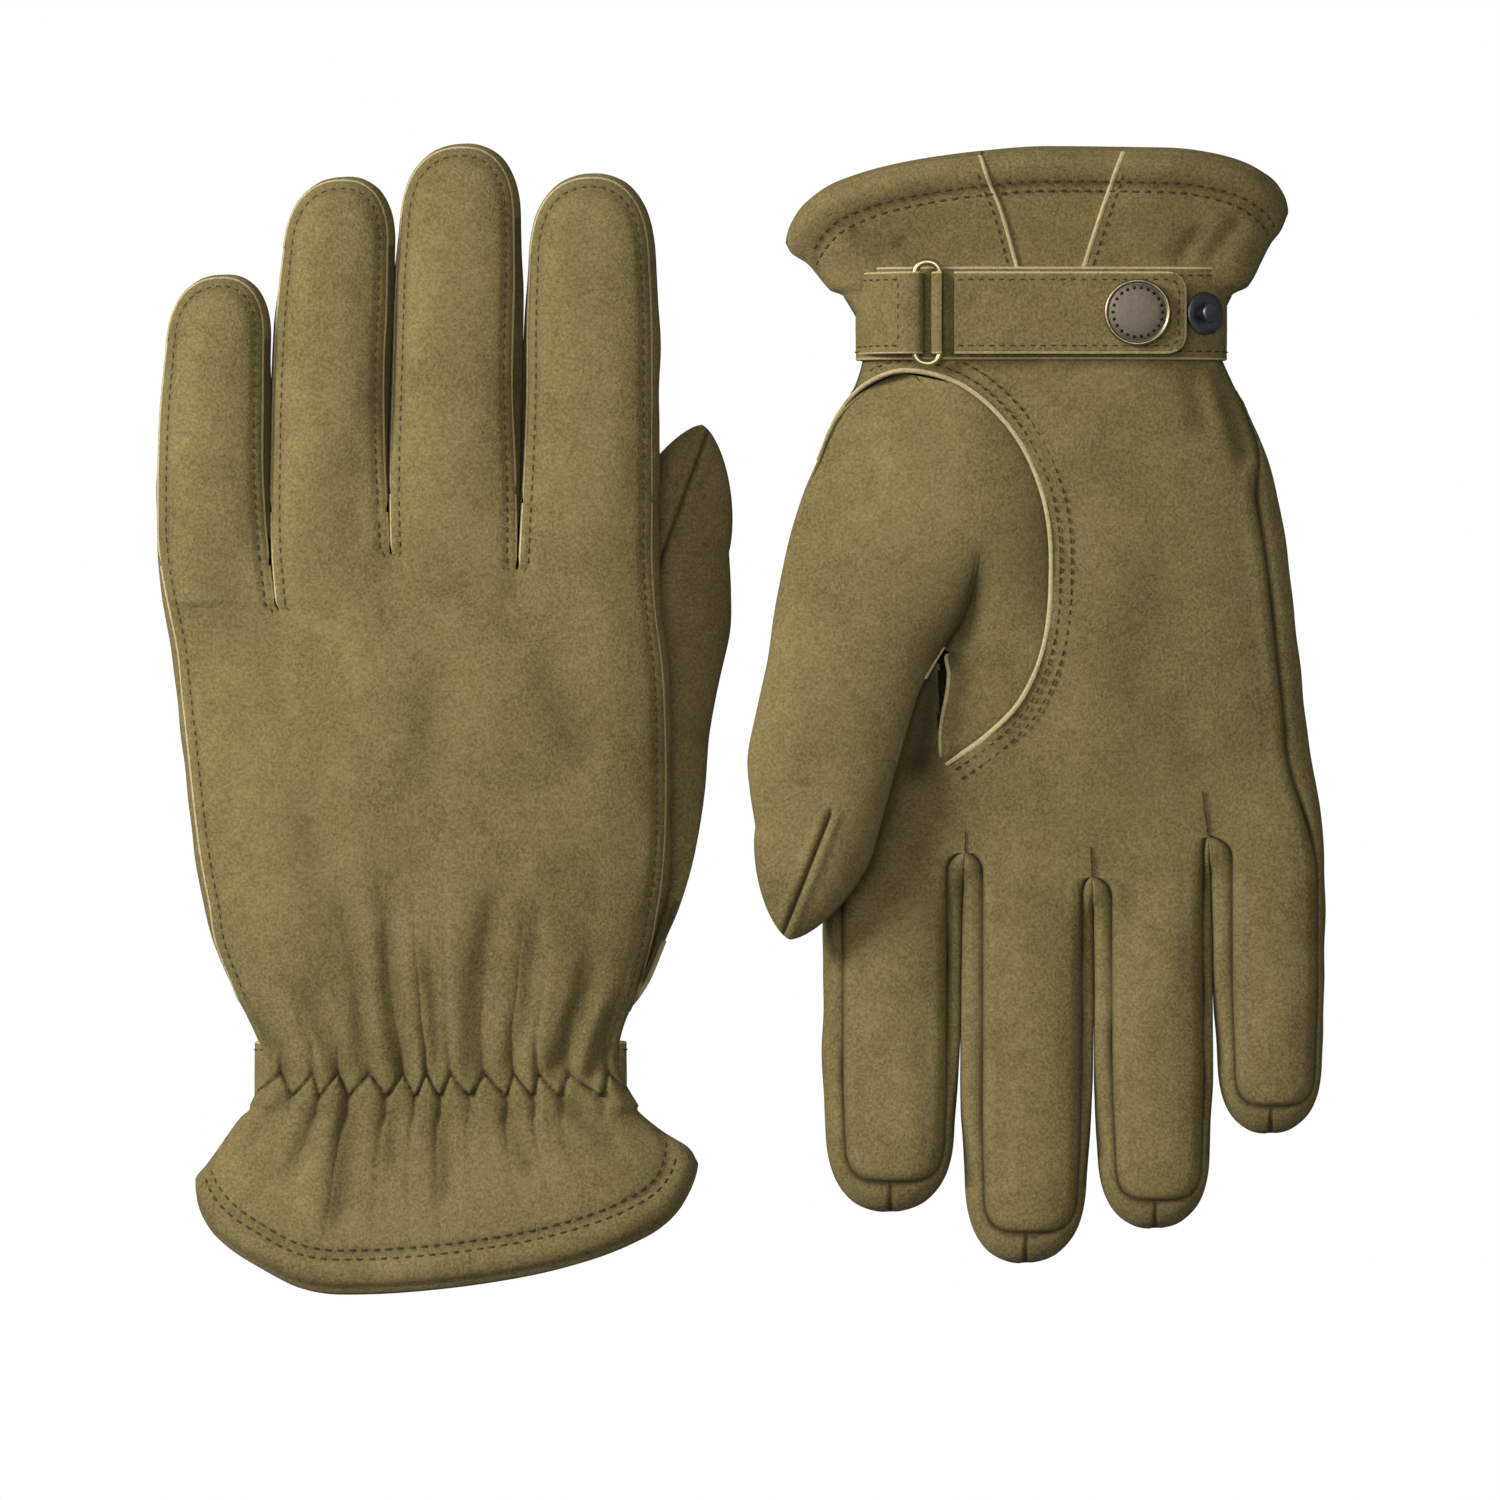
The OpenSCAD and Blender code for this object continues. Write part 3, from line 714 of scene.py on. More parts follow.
def suede(name, base, dark, light, grain=0.62, sheen=0.12):
    m, nodes, links, shader = newMaterial(name)
    g = nodes.new("ShaderNodeGroup")
    g.node_tree = nap
    g.inputs["Base"].default_value = (*base, 1)
    g.inputs["Dark"].default_value = (*dark, 1)
    g.inputs["Light"].default_value = (*light, 1)
    g.inputs["Grain"].default_value = grain
    links.new(g.outputs["Color"], shader.inputs["Base Color"])
    links.new(g.outputs["Roughness"], shader.inputs["Roughness"])
    relief = node(nodes, "ShaderNodeBump", in_Strength=0.8, in_Distance=0.00030)
    links.new(g.outputs["Height"], relief.inputs["Height"])
    links.new(relief.outputs["Normal"], shader.inputs["Normal"])
    shader.inputs["Specular IOR Level"].default_value = 0.12
    shader.inputs["Sheen Weight"].default_value = sheen
    shader.inputs["Sheen Roughness"].default_value = 0.45
    shader.inputs["Sheen Tint"].default_value = (0.80, 0.72, 0.48, 1)
    return m


olive = suede("oliveSuede", (0.195, 0.152, 0.057), (0.104, 0.079, 0.026), (0.303, 0.240, 0.101))
rawEdge = suede("rawEdge", (0.50, 0.42, 0.205), (0.36, 0.29, 0.13), (0.64, 0.55, 0.31), grain=0.6, sheen=0.15)
inner = suede("innerSide", (0.16, 0.125, 0.055), (0.12, 0.09, 0.035), (0.20, 0.16, 0.075))
thread = suede("thread", (0.070, 0.055, 0.023), (0.045, 0.035, 0.014), (0.10, 0.08, 0.038),
               grain=0.4, sheen=0.0)
leatherLooks = [olive, rawEdge, thread, inner]


def metal(name, base, worn, rough, wornScale=420.0):
    m, nodes, links, shader = newMaterial(name)
    place = nodes.new("ShaderNodeTexCoord")
    wear = node(nodes, "ShaderNodeTexNoise", in_Scale=wornScale, in_Detail=4.0, in_Roughness=0.6)
    links.new(place.outputs["Object"], wear.inputs["Vector"])
    ramp = node(nodes, "ShaderNodeMapRange", in_From_Min=0.4, in_From_Max=0.65)
    links.new(wear.outputs["Fac"], ramp.inputs["Value"])
    blend = node(nodes, "ShaderNodeMix", data_type="RGBA")
    blend.inputs["A"].default_value = (*base, 1)
    blend.inputs["B"].default_value = (*worn, 1)
    links.new(ramp.outputs["Result"], blend.inputs["Factor"])
    links.new(blend.outputs["Result"], shader.inputs["Base Color"])
    roughness = node(nodes, "ShaderNodeMapRange", in_To_Min=rough, in_To_Max=rough + 0.16)
    links.new(wear.outputs["Fac"], roughness.inputs["Value"])
    links.new(roughness.outputs["Result"], shader.inputs["Roughness"])
    relief = node(nodes, "ShaderNodeBump", in_Strength=0.35, in_Distance=0.00008)
    links.new(wear.outputs["Fac"], relief.inputs["Height"])
    links.new(relief.outputs["Normal"], shader.inputs["Normal"])
    shader.inputs["Metallic"].default_value = 1.0
    return m


brass = metal("brassWire", (0.60, 0.50, 0.26), (0.42, 0.34, 0.17), 0.28)
agedBrass = metal("agedBrass", (0.12, 0.10, 0.075), (0.165, 0.135, 0.098), 0.42, 900.0)
wornRim = metal("wornRim", (0.34, 0.28, 0.17), (0.22, 0.18, 0.11), 0.3)
gunmetal = metal("gunmetal", (0.12, 0.125, 0.14), (0.18, 0.18, 0.20), 0.35)
darkMetal = metal("darkMetal", (0.02, 0.02, 0.022), (0.035, 0.034, 0.034), 0.4)

print("stage: materials ready")

# the ring, its two bars and its wire; the right glove is the left one turned over and round
ring = {"x": 27.0, "z": -14.3, "bars": 2.8, "reach": 8.9, "bow": 2.5, "wire": 0.76, "eye": 0.9}


# a glove's wrist, from the middle of its ring in the frame
def wristOrigin(side, sign):
    low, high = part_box(f"{side}_strap_ring")
    return (np.array(low) + np.array(high)) / 2 - sign * np.array([ring["x"], 0.0, ring["z"]]) * mm


gloves = [
    {"side": "left", "origin": wristOrigin("left", 1.0), "sign": 1.0, "thumb": 1.17, "long": True},
    {"side": "right", "origin": wristOrigin("right", -1.0), "sign": -1.0, "thumb": 1.0, "long": False},
]
gloves[0].update({
    "hem": [(-53.8, -28.0), (-47, -34.4), (-39.2, -39.2), (-30.5, -43.4), (-21, -44.8), (-8, -44.4),
            (15, -41.8), (30.5, -38.6), (44.4, -33.8), (52.6, -29.0), (59.0, -21.5)],
    "cuffLo": [(0, -40.9), (0.13, -43.5), (0.31, -46.2), (0.49, -48.6), (0.68, -51.3), (0.86, -53.8),
               (1, -53.6)],
    "cuffHi": [(0, 44.3), (0.19, 46.8), (0.46, 51.3), (0.73, 56.8), (1, 59.0)],
    "lean": [2.2, 3.0, 1.6, -0.3], "grow": [0.3, 0.4, 0.4, 2.6],
})
gloves[1].update({
    "hem": [(-54.3, -27.4), (-45, -32.7), (-33.6, -35.4), (-19, -36.0), (0, -36.2), (15, -35.2),
            (33.2, -32.6),
            (44.1, -29.8), (50.6, -27.0), (58.6, -20.6)],
    "cuffLo": [(0, -42.6), (0.07, -44.4), (0.19, -46.2), (0.42, -48.4), (0.65, -50.7), (0.77, -52.5),
               (1, -54.4)],
    "cuffHi": [(0, 46.8), (0.1, 48.4), (0.28, 50.4), (0.45, 52), (0.63, 54.0), (0.8, 57.2), (1, 58.7)],
    "lean": [0.0, -0.4, 0.6, 0.0], "grow": [1.6, 0.8, 1.0, -1.4],
})


# the row where the hand's pieces end and the finger's own piece starts
def splitRow(i):
    return fingers[i]["bend"] - 16


# every strip of the hand shares the rows below the slits, so that neighbours weld
def sharedRows(side):
    gather = np.arange(-4, 20, 0.45)
    palm = np.arange(20, 84, 1.5)
    knuckles = np.arange(84, 134, 0.7)
    marks = [s["back" if side > 0 else "palm"] for s in slits]
    fine = np.concatenate([m + np.array([-0.02, 0.0, 0.06, 0.16, 0.32, 0.52]) for m in marks])
    splits = [splitRow(i) for i in range(4)]
    return np.unique(np.round(np.concatenate([gather, palm, knuckles, fine, splits]), 4))


def fingerRows(i):
    start = tipStart(i)[0]
    return np.append(np.arange(splitRow(i), start - 0.3, 0.9), start)


stripColumns = columns(62, 0.86)
tipShares = np.sin(np.linspace(0, np.pi / 2, 20))
ribbonShares = np.array([0, 0.012, 0.03, 0.05, 0.08, 0.12, 0.18, 0.25, 0.3, 0.38, 0.48, 0.6, 0.72, 0.84,
                         0.93, 1.0])
pinchTurns = np.pi / 2 + np.array([-0.07, -0.045, -0.025, -0.01, 0, 0.01, 0.025, 0.045, 0.07])
tipTurns = np.unique(np.concatenate([np.linspace(0, np.pi, 81)[1:-1], pinchTurns]))


# the two rims of a back strip, where it has a free edge
def backRims(shape, grid, i, rows):
    for high in (False, True):
        border = grid[:, -1] if high else grid[:, 0]
        outer = isOuter(i, high)
        k = i if high else i - 1
        free = rows >= 17 if outer else rows >= slits[k]["back"] - 0.01
        if free.sum() < 2:
            continue
        border = border[free]
        sign = 1.0 if high else -1.0
        grow = ease((rows[free] - rows[free][0]) / 3.0)[:, None]
        outward = np.array([[sign * 0.85, 0, 0]]) * grow
        drop = np.array([[0, 0, -hand["edge"]]]) * np.ones_like(grow)
        addRim(shape, border, outward, drop, 1, flip=high is False)


# the rim goes on round the fingertip
def tipRim(shape, i):
    f = fingers[i]
    length = tipStart(i)[1]
    a = np.linspace(0, np.pi, 61)
    border = tipBorder(i, a, 1)
    outward = unit(np.stack([-np.cos(a) / f["w"], np.sin(a) / length, 0 * a], 1)) * 0.85
    addRim(shape, border, outward, np.array([[0, 0, -hand["edge"]]]) * np.ones((len(a), 1)), 1, flip=True)


# the line of stitches beside a finger's edge, on the back panel
def fingerStitchPath(i, rows, inset=1.9):
    rows = np.asarray(rows, float)
    x0, x1 = panelEdge(i, rows, 1, False)[0], panelEdge(i, rows, 1, True)[0]

    def onStrip(x):
        c = (x - x0) / (x1 - x0) * 2 - 1
        h = panelHeight(i, c, rows, 1)[1]
        return finishHeight(x, rows, h, np.full_like(rows, inset), 1)

    low, high = onStrip(x0 + inset), onStrip(x1 - inset)
    arc = tipBorder(i, np.linspace(0, np.pi, 60)[1:-1], 1, inset)
    return low, arc, high


# normals point away from a line inside the finger
def fingerNormals(i, path):
    path = path[:, :3]
    axisY = np.minimum(path[:, 1], tipStart(i)[0])
    n = path - np.stack([np.full(len(path), fingers[i]["x"]), axisY, middle(path[:, 1]) - 6], 1)
    n[:, 0] *= 0.75
    return unit(n)


# one finger beyond the hand: two panels with rounded ends, the wall between them, rims and stitches
def buildFinger(glove, i):
    f, side = fingers[i], glove["side"]
    rows = fingerRows(i)
    shape = newShape()
    back = stripGrid(i, rows, stripColumns, 1)
    addGrid(shape, np.concatenate([back, tipGrid(i, tipShares, stripColumns, 1)[1:]]), 0)
    backRims(shape, back, i, rows)
    tipRim(shape, i)
    palm = stripGrid(i, rows, stripColumns, -1)
    addGrid(shape, np.concatenate([palm, tipGrid(i, tipShares, stripColumns, -1)[1:]]), 0, flip=True)
    ribbon = np.concatenate([
        ribbonSide(i, rows, ribbonShares, False), ribbonTip(i, tipTurns, ribbonShares),
        ribbonSide(i, rows[::-1], ribbonShares, True)])
    addGrid(shape, ribbon, 0)
    low, arc, high = fingerStitchPath(i, rows)
    path = np.concatenate([low, arc, high[::-1]])
    addStitches(shape, path, fingerNormals(i, path))
    for points in shape["points"]:
        rise = ease((points[:, 1] - f["bend"]) / (f["tip"] - f["bend"]) * 0.5) * 2
        points[:, 0] += glove["lean"][i] * rise
        points[:, 1] += glove["grow"][i] * rise
        slim = 0.9 * ease((points[:, 1] - f["tip"] + 34) / 26)
        points[:, 0] -= slim * np.clip((points[:, 0] - f["x"]) / f["w"], -1, 1)
    name = f"{side}_{f['name']}_finger"
    piece = makeObject(name, shape, glove, leatherLooks)
    ends = []
    for y in (splitRow(i), f["bend"] + 16):
        ends.append(tuple(glove["origin"] + glove["sign"] * np.array([f["x"], y, -4]) * mm))
    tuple(ends[0])
    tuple(ends[1])
    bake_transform(piece)
    prefix = f"{side}_{f['name']}_tip"
    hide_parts(f"{prefix}_back", f"{prefix}_palm", f"{prefix}_sides")


# one side of the flared cuff, from the wrist line out to the hem: x runs across, v down to the hem
def cuffPoint(glove, x, v, side):
    top = hand["wristY"]
    lo, hi = handEdges(top)
    across = np.clip((x - (lo + hi) / 2) / ((hi - lo) / 2), -1, 1)
    hem = glove["hem"]
    hemX = mix(hem[0][0], hem[-1][0], (across + 1) / 2)
    corner = 4.5
    fromEnd = np.clip(corner - np.minimum(hemX - hem[0][0], hem[-1][0] - hemX), 0, corner)
    hemY = through(hemX, hem) + corner - np.sqrt(corner**2 - fromEnd**2)
    left = mix(lo, through(v, glove["cuffLo"]), ease(v / 0.12))
    right = mix(hi, through(v, glove["cuffHi"]), ease(v / 0.12))
    px = mix(left, right, (across + 1) / 2)
    py = mix(top, hemY, v)
    late = 0.24 if side < 0 else 0.05
    thick = mix(11.0, 17.4, ease((v - late) / (1 - late))**0.8)
    power = mix(3.2, 2.6, v)
    h = thick * crown(across, power)
    body = np.clip(1 - np.abs(across)**4, 0, 1)
    edge = (1 - v) * np.abs(hemY - top)
    shade = 0
    if side > 0:
        pucker, shade = gathers(x, top - 0.7 - v * 28)
        fade = np.exp(-v * 1.2)
        h = h + pucker * fade * mix(1, body, ease(v / 0.15)) + 0.35 * (1 - v)
        shade = shade * fade
    dip = foldDip(px, py, backFolds + cuffFolds if side > 0 else palmFolds) * (1 - ease((v - 0.55) / 0.3))
    puff = 0.9 * np.exp(-((edge - 3.8) / 2.8)**2) - 0.55 * np.exp(-((edge - 7.9) / 1.3)**2)
    roll = 1.4 * np.exp(-(edge / 1.1)**2)
    h = h + (puff - roll) * np.where(np.abs(across) < 1, 1, 0.4) * ease(v / 0.3)
    held = mix(1, body, ease(v / 0.15))
    h = h + (uneven(px, py) * 1.6 - dip) * held
    # painted shade in the folds and in the groove above the hem
    shade = shade + 0.16 * dip + 0.2 * np.exp(-((edge - 7.9) / 1.4)**2)
    return stack(px, py, side * h, shade)


def cuffGrid(glove, xs, side):
    v = np.concatenate([np.linspace(0, 0.7, 34), np.linspace(0.7, 1, 30)[1:]])[:, None]
    return cuffPoint(glove, xs[None, :] + 0 * v, v + 0 * xs[None, :], side)


# the hem's roll and the facing behind it: the last row carried round and back up inside the cuff
def hemInside(outerGrid, side):
    outerGrid = outerGrid[..., :3]
    last = outerGrid[-1]
    inward = np.stack([-last[:, 0] / 56, 0 * last[:, 0], -side * np.ones(len(last)) * 0.9], 1)
    inward[:, 2] *= np.clip(np.abs(last[:, 2]) / 6, 0, 1)
    inward = unit(inward)
    rows = []
    for a in np.linspace(0, np.pi, 9)[1:]:
        rows.append(last + inward * 1.2 * (1 - math.cos(a)) + np.array([0, -1.1 * math.sin(a), 0]))
    for back in (4, 9, 14, 20, 27):
        j = -1 - back
        rows.append(outerGrid[j] + inward * 2.4)
    return np.concatenate([last[None], np.stack(rows)])


# the back of the hand: four strips side by side, the cuff, its facing and the stitches
def buildHandBack(glove):
    shape = newShape()
    shared = sharedRows(1)
    first = []
    for i in range(4):
        rows = shared[shared <= splitRow(i) + 1e-6]
        grid = stripGrid(i, rows, stripColumns, 1)
        addGrid(shape, grid, 0)
        backRims(shape, grid, i, rows)
        first.append(grid[0, :, 0])
        low, high = fingerStitchPath(i, rows)[::2]
        for side, path, k in ((0, low, i - 1), (1, high, i)):
            start = 20 if isOuter(i, side == 1) else slits[k]["back"] - 1.5
            keep = rows >= start
            if keep.sum() > 3:
                part = path[keep]
                addStitches(shape, part, fingerNormals(i, part))
    xs = np.unique(np.round(np.concatenate(first), 5))
    cuff = cuffGrid(glove, xs, 1)
    addGrid(shape, cuff, 0, flip=True)
    addGrid(shape, hemInside(cuff, 1), 3, flip=True)
    hemStitches(shape, glove, xs, 1)
    addRider(glove, "back_panel", shape, leatherLooks, "hand",
             ("back_panel", "wrist_elastic", "cuff_facing"))


# two rows of stitches above the hem
def hemStitches(shape, glove, xs, side):
    hem = glove["hem"]
    x = np.linspace(xs[0] + 0.4, xs[-1] - 0.4, 160)
    lo, hi = handEdges(hand["wristY"])
    across = (x - (lo + hi) / 2) / ((hi - lo) / 2)
    hemX = mix(hem[0][0], hem[-1][0], (across + 1) / 2)
    length = np.abs(through(hemX, hem) - hand["wristY"])
    for inset in (6.8, 8.9):
        v = np.clip(1 - inset / length, 0, 1)
        path = cuffPoint(glove, x, v, side)
        up = np.stack([path[:, 0] / 60 * 0.6, 0 * path[:, 0], side * np.ones(len(path))], 1)
        addStitches(shape, path, unit(up), step=2.7, long=1.7, wide=0.55)


# the hole that the thumb is sewn into, as an outline on the palm
holeKnots = [(51.2, 33.0), (46.6, 22.6), (41.2, 16.4), (32, 13.0), (20, 16), (8.6, 26), (1.8, 39.6),
             (-0.4, 55.3), (0.9, 73.2), (6.3, 86.7), (14, 94.6), (23, 101)]


def smoothLine(points, count):
    p = np.array(points, float)
    step = np.concatenate([[0], np.cumsum(np.linalg.norm(np.diff(p, axis=0), axis=1))])
    t = np.linspace(0, step[-1], count)
    return np.stack([through(t, list(zip(step, p[:, k]))) for k in range(2)], 1)


holeLine = smoothLine(holeKnots, 260)
holeLoop = np.concatenate([holeLine, [[24.6, 92], [24.4, 78.5], [34, 81], [44, 83], [56, 86], [60, 60]]])


# which places lie inside a closed outline, by counting the sides crossed on the way out
def insideLoop(x, y, loop):
    inside = np.zeros(x.shape, bool)
    for a, b in zip(loop, np.roll(loop, -1, 0)):
        crosses = (a[1] > y) != (b[1] > y)
        with np.errstate(divide="ignore", invalid="ignore"):
            cut = (b[0] - a[0]) * (y - a[1]) / (b[1] - a[1] + 1e-12) + a[0]
        inside ^= crosses & (x < cut)
    return inside


# height of the palm at any place, without the seams' small shapes
def palmLevel(x, y):
    x, y = np.asarray(x, float), np.asarray(y, float)
    h = np.zeros(np.broadcast(x, y).shape)
    for i in range(4):
        x0, x1 = panelEdge(i, y, -1, False)[0], panelEdge(i, y, -1, True)[0]
        c = (x - x0) / (x1 - x0) * 2 - 1
        part = panelHeight(i, np.clip(c, -1, 1), y, -1)[1]
        mask = ((c >= -1) | (i == 0)) & ((c <= 1) | (i == 3))
        h = np.where(mask, part, h)
    return -h + middle(y)


# the palm: the same strips with the thumb's hole cut out, and a cuff in two panels over a gore
def buildHandPalm(glove):
    shape = newShape()
    shared = sharedRows(-1)
    first = []
    for i in range(4):
        rows = shared[shared <= splitRow(i) + 1e-6]
        grid = stripGrid(i, rows, stripColumns, -1)
        flat = grid[..., :2].reshape(-1, 2)
        gap = np.linalg.norm(flat[:, None, :] - holeLine[None, ::2, :], axis=2)
        near = gap.min(1) < 1.3
        target = holeLine[::2][gap.argmin(1)]
        moved = grid.reshape(-1, 4).copy()
        moved[near, :2] = target[near]
        grid = moved.reshape(grid.shape)
        level = palmLevel(grid[..., 0], grid[..., 1])
        grid[..., 2] = np.where(near.reshape(grid.shape[:2]), level, grid[..., 2])
        centre = (grid[:-1, :-1] + grid[1:, :-1] + grid[:-1, 1:] + grid[1:, 1:]) / 4
        keep = ~insideLoop(centre[..., 0], centre[..., 1], holeLoop).ravel()
        addGrid(shape, grid, 0, flip=True, keep=keep)
        first.append(grid[0, :, 0])
    # the hole's cut edge and the two rows of stitches outside it
    top = np.stack([holeLine[:, 0], holeLine[:, 1], palmLevel(holeLine[:, 0], holeLine[:, 1])], 1)
    along = unit(np.gradient(holeLine, axis=0))
    outward = np.stack([along[:, 1], -along[:, 0], 0 * along[:, 0]], 1)
    widths = np.array([0.75, 0.3, -0.1, -0.35])
    lifts = np.array([-0.06, -0.28, -0.1, 0.9])
    rim = top[:, None, :] + outward[:, None, :] * widths[None, :, None] * -1.0
    rim[..., 2] += lifts[None, :]
    addGrid(shape, rim, 1, flip=False)
    for inset in (2.4, 4.9):
        path = holeLine + outward[:, :2] * -inset
        path = path[(path[:, 0] < through(path[:, 1], rightEdge) - 1.5) & (path[:, 1] > 10.8)]
        spots = np.stack([path[:, 0], path[:, 1], palmLevel(path[:, 0], path[:, 1]) - 0.05], 1)
        addStitches(shape, spots, np.tile([[0, 0, -1.0]], (len(spots), 1)))
    # the cuff on this side: two panels, their cut edges over the gore between them
    xs = np.unique(np.round(np.concatenate(first), 5))
    v = np.concatenate([np.linspace(0, 0.7, 34), np.linspace(0.7, 1, 30)[1:]])
    goreLow = mix(-5.4, -12.6, v)
    goreHigh = mix(5.4, 12.0, v)
    lo, hi = xs[0], xs[-1]
    share = np.linspace(0, 1, 60)
    leftX = mix(lo, goreLow[:, None], share[None, :]**1.6)
    rightX = mix(goreHigh[:, None], hi, 1 - (1 - share[None, :])**1.6)
    goreX = mix(goreLow[:, None] - 0.6, goreHigh[:, None] + 0.6, share[None, :])
    seamEdge = [(-0.55, -0.05), (-0.1, -0.3), (0.35, -0.15), (0.5, 0.8)]
    vv = v[:, None] + 0 * share[None, :]
    for number, xx in enumerate((leftX, rightX, goreX)):
        grid = cuffPoint(glove, xx, vv, -1)
        if number == 2:
            grid[..., 2] += 0.55
        addGrid(shape, grid, 0, flip=False)
        addGrid(shape, hemInside(grid, -1), 3, flip=False)
        if number < 2:
            border = (grid[:, -1] if number == 0 else grid[:, 0])[:, :3]
            sign = 1.0 if number == 0 else -1.0
            strip = [border + [sign * over, 0, rise] for over, rise in seamEdge]
            addGrid(shape, np.stack(strip, 1), 1, flip=number == 1)
            run = border + [-sign * 2.0, 0, -0.05]
            addStitches(shape, run[:52], np.tile([[0, 0, -1.0]], (52, 1)))
    hemStitches(shape, glove, xs, -1)
    addRider(glove, "palm_panel", shape, leatherLooks, "hand", ("palm_panel", "cuff_gore"))


# the side walls below the fingers' own pieces: the slits' walls and the two outer strips
def buildHandSides(glove):
    walls, outer = newShape(), {0: newShape(), 3: newShape()}
    for i in range(4):
        for high in (False, True):
            edge = isOuter(i, high)
            k = i if high else i - 1
            start = 17.0 if edge else slits[k]["back"]
            step = 1.2 if edge else 0.6
            rows = np.unique(np.append(np.arange(start, splitRow(i), step), splitRow(i)))
            if not edge:
                mark = slits[k]["palm"]
                rows = np.unique(np.concatenate([rows, mark + np.array([0, 0.06, 0.16, 0.32, 0.52])]))
                rows = rows[rows <= splitRow(i)]
            grid = ribbonSide(i, rows, ribbonShares, high)
            addGrid(outer[i] if edge else walls, grid, 0, flip=high)
    made = [(walls, "fourchettes"), (outer[0], "little_side_strip"), (outer[3], "index_side_strip")]
    for shape, name in made:
        addRider(glove, name, shape, leatherLooks, "hand", (name,))


# the thumb, about its own line: u runs across it, v along it
thumb = {"lean": math.radians(12.5), "root": (34.0, 34.0), "split": 57.0, "end": 108.9, "capFrom": 86.0}
thumbOut = [(-21, 3.0), (-15.6, 9.8), (-8.4, 14.9), (-2, 16.7), (2.7, 17.4), (10, 18.8), (24, 19.8),
            (37.6, 19.5), (51, 18.6), (65, 18.6), (71.7, 18.2), (78.3, 16.2), (86, 13.2)]
thumbIn = [(-21, 1.0), (-12, -11), (0, -18.5), (12, -22.4), (30, -22.2), (39.4, -18.8), (48, -16.2),
           (56.7, -15.4), (73.7, -14.4), (86, -13.8)]
thumbCrest = [(-21, -9.4), (-10, -12.0), (0, -14.6), (12, -17.4), (25, -20.2), (40, -22.8), (60, -24.8),
              (80, -25.0), (109, -24.6)]
thumbMid = [(-21, -4.0), (0, -5.0), (20, -7.0), (40, -12.5), (56, -16.2), (72, -17.2), (109, -17.2)]


def fromThumb(u, v):
    c, n = math.cos(thumb["lean"]), math.sin(thumb["lean"])
    return thumb["root"][0] + u * c + v * n, thumb["root"][1] - u * n + v * c


# where each row across the thumb meets the inner edge of its hole
def holeU(v):
    c, n = math.cos(thumb["lean"]), math.sin(thumb["lean"])
    dx, dy = holeLine[:, 0] - thumb["root"][0], holeLine[:, 1] - thumb["root"][1]
    u, w = dx * c - dy * n, dx * n + dy * c
    first = np.argmin(w)
    return np.interp(v, w[first:], u[first:])


# a sewn line: a narrow groove between two soft ridges, and the painted shade in its middle
def seamGroove(off, shade):
    off = np.abs(off)
    groove = -1.0 * np.exp(-(off / 0.45)**2) + 0.5 * np.exp(-((off - 1.7) / 1.1)**2)
    return groove, shade * np.exp(-(off / 0.3)**2)


# low down the thumb and its patch are one dome, from the hole's edge to the thumb's outer side
def thumbDome(u, v, rim, out):
    mid = through(v, thumbMid)
    whole = np.clip((u - rim) / (out - rim), 0, 1)**0.85
    edge = palmLevel(*fromThumb(rim, v)) + 0.6
    rise = np.clip(mix(edge, mid, 0.6) - through(v, thumbCrest), 0.2, None)
    return mix(edge, mid, whole) - rise * (1 - np.abs(2 * whole - 1)**2.2)


# rings of the thumb; the first columns are its palm side, from the inner edge to the outer one
def thumbRing(glove, v, turns, welded=False):
    v = np.asarray(v, float)[:, None]
    a = np.asarray(turns, float)[None, :]
    core = np.minimum(v, thumb["capFrom"])
    out, inn = through(core, thumbOut), through(core, thumbIn)
    if glove["long"]:
        out = out - 2.0 * np.exp(-((v - 62) / 24)**2)
    q = np.clip((v - thumb["capFrom"]) / (thumb["end"] - thumb["capFrom"]), 0, 1)
    cap = np.clip(1 - q**1.5, 0, 1)**(1 / 1.5)
    centre, half = (out + inn) / 2 + q * 0.6, (out - inn) / 2 * cap
    across, lift = -np.cos(a), np.sin(a)
    u = centre + half * across
    x, y = fromThumb(u, v)
    mid = through(v, thumbMid)
    innX, innY = fromThumb(inn, v)
    level = palmLevel(innX, np.clip(innY, 0, 110)) + 0.9
    inEdge = mix(level, mid, ease((v - 34) / 16))
    base = mix(inEdge, mid, (across + 1) / 2)
    crest = through(v, thumbCrest)
    height = np.clip(base - crest, 0.2, None) * cap**0.8
    soft = mix(1.5, 0.5, ease((v - 6) / 34))
    power = np.where(across < 0, soft, 0.5)
    front = np.clip(1 - across**2, 0, 1)**power
    line = u + 2.5 - 4.5 * np.clip((v - 79.7) / 28.7, 0, 1)
    start = ease((v - 77.5) / 3)
    groove, dark = seamGroove(line, 0.95)
    z = np.where(lift >= 0, base - height * front, base)
    if welded:
        z = np.where(lift >= 0, mix(thumbDome(u, v, holeU(v), out), z, ease((v - 4) / 32)), z)
    bulk = 6.4 * cap**0.8 * ease((v - 20) / 30) + 2.5
    under = base + bulk * np.clip(1 - across**2, 0, 1)**0.5
    z = np.where(lift >= 0, z - groove * start, under + groove * start)
    z = z + uneven(x * 1.1, y * 1.1, 0.35) * np.where(lift > 0.25, 1, 0)
    extra = (v - 56) * (glove["thumb"] - 1) * (v > 56)
    x = x + extra * math.sin(thumb["lean"])
    y = y + extra * math.cos(thumb["lean"])
    # painted shade along the thumb's seam and in the valley at its foot
    dark = dark * start * (np.abs(across) < 0.9)
    foot = 0.7 * np.exp(-((u - inn) / 2.4)**2) * ease((v - 6) / 18) * (1 - ease((v - 38) / 8))
    return stack(x, y, z, dark + foot * (lift > -0.1))


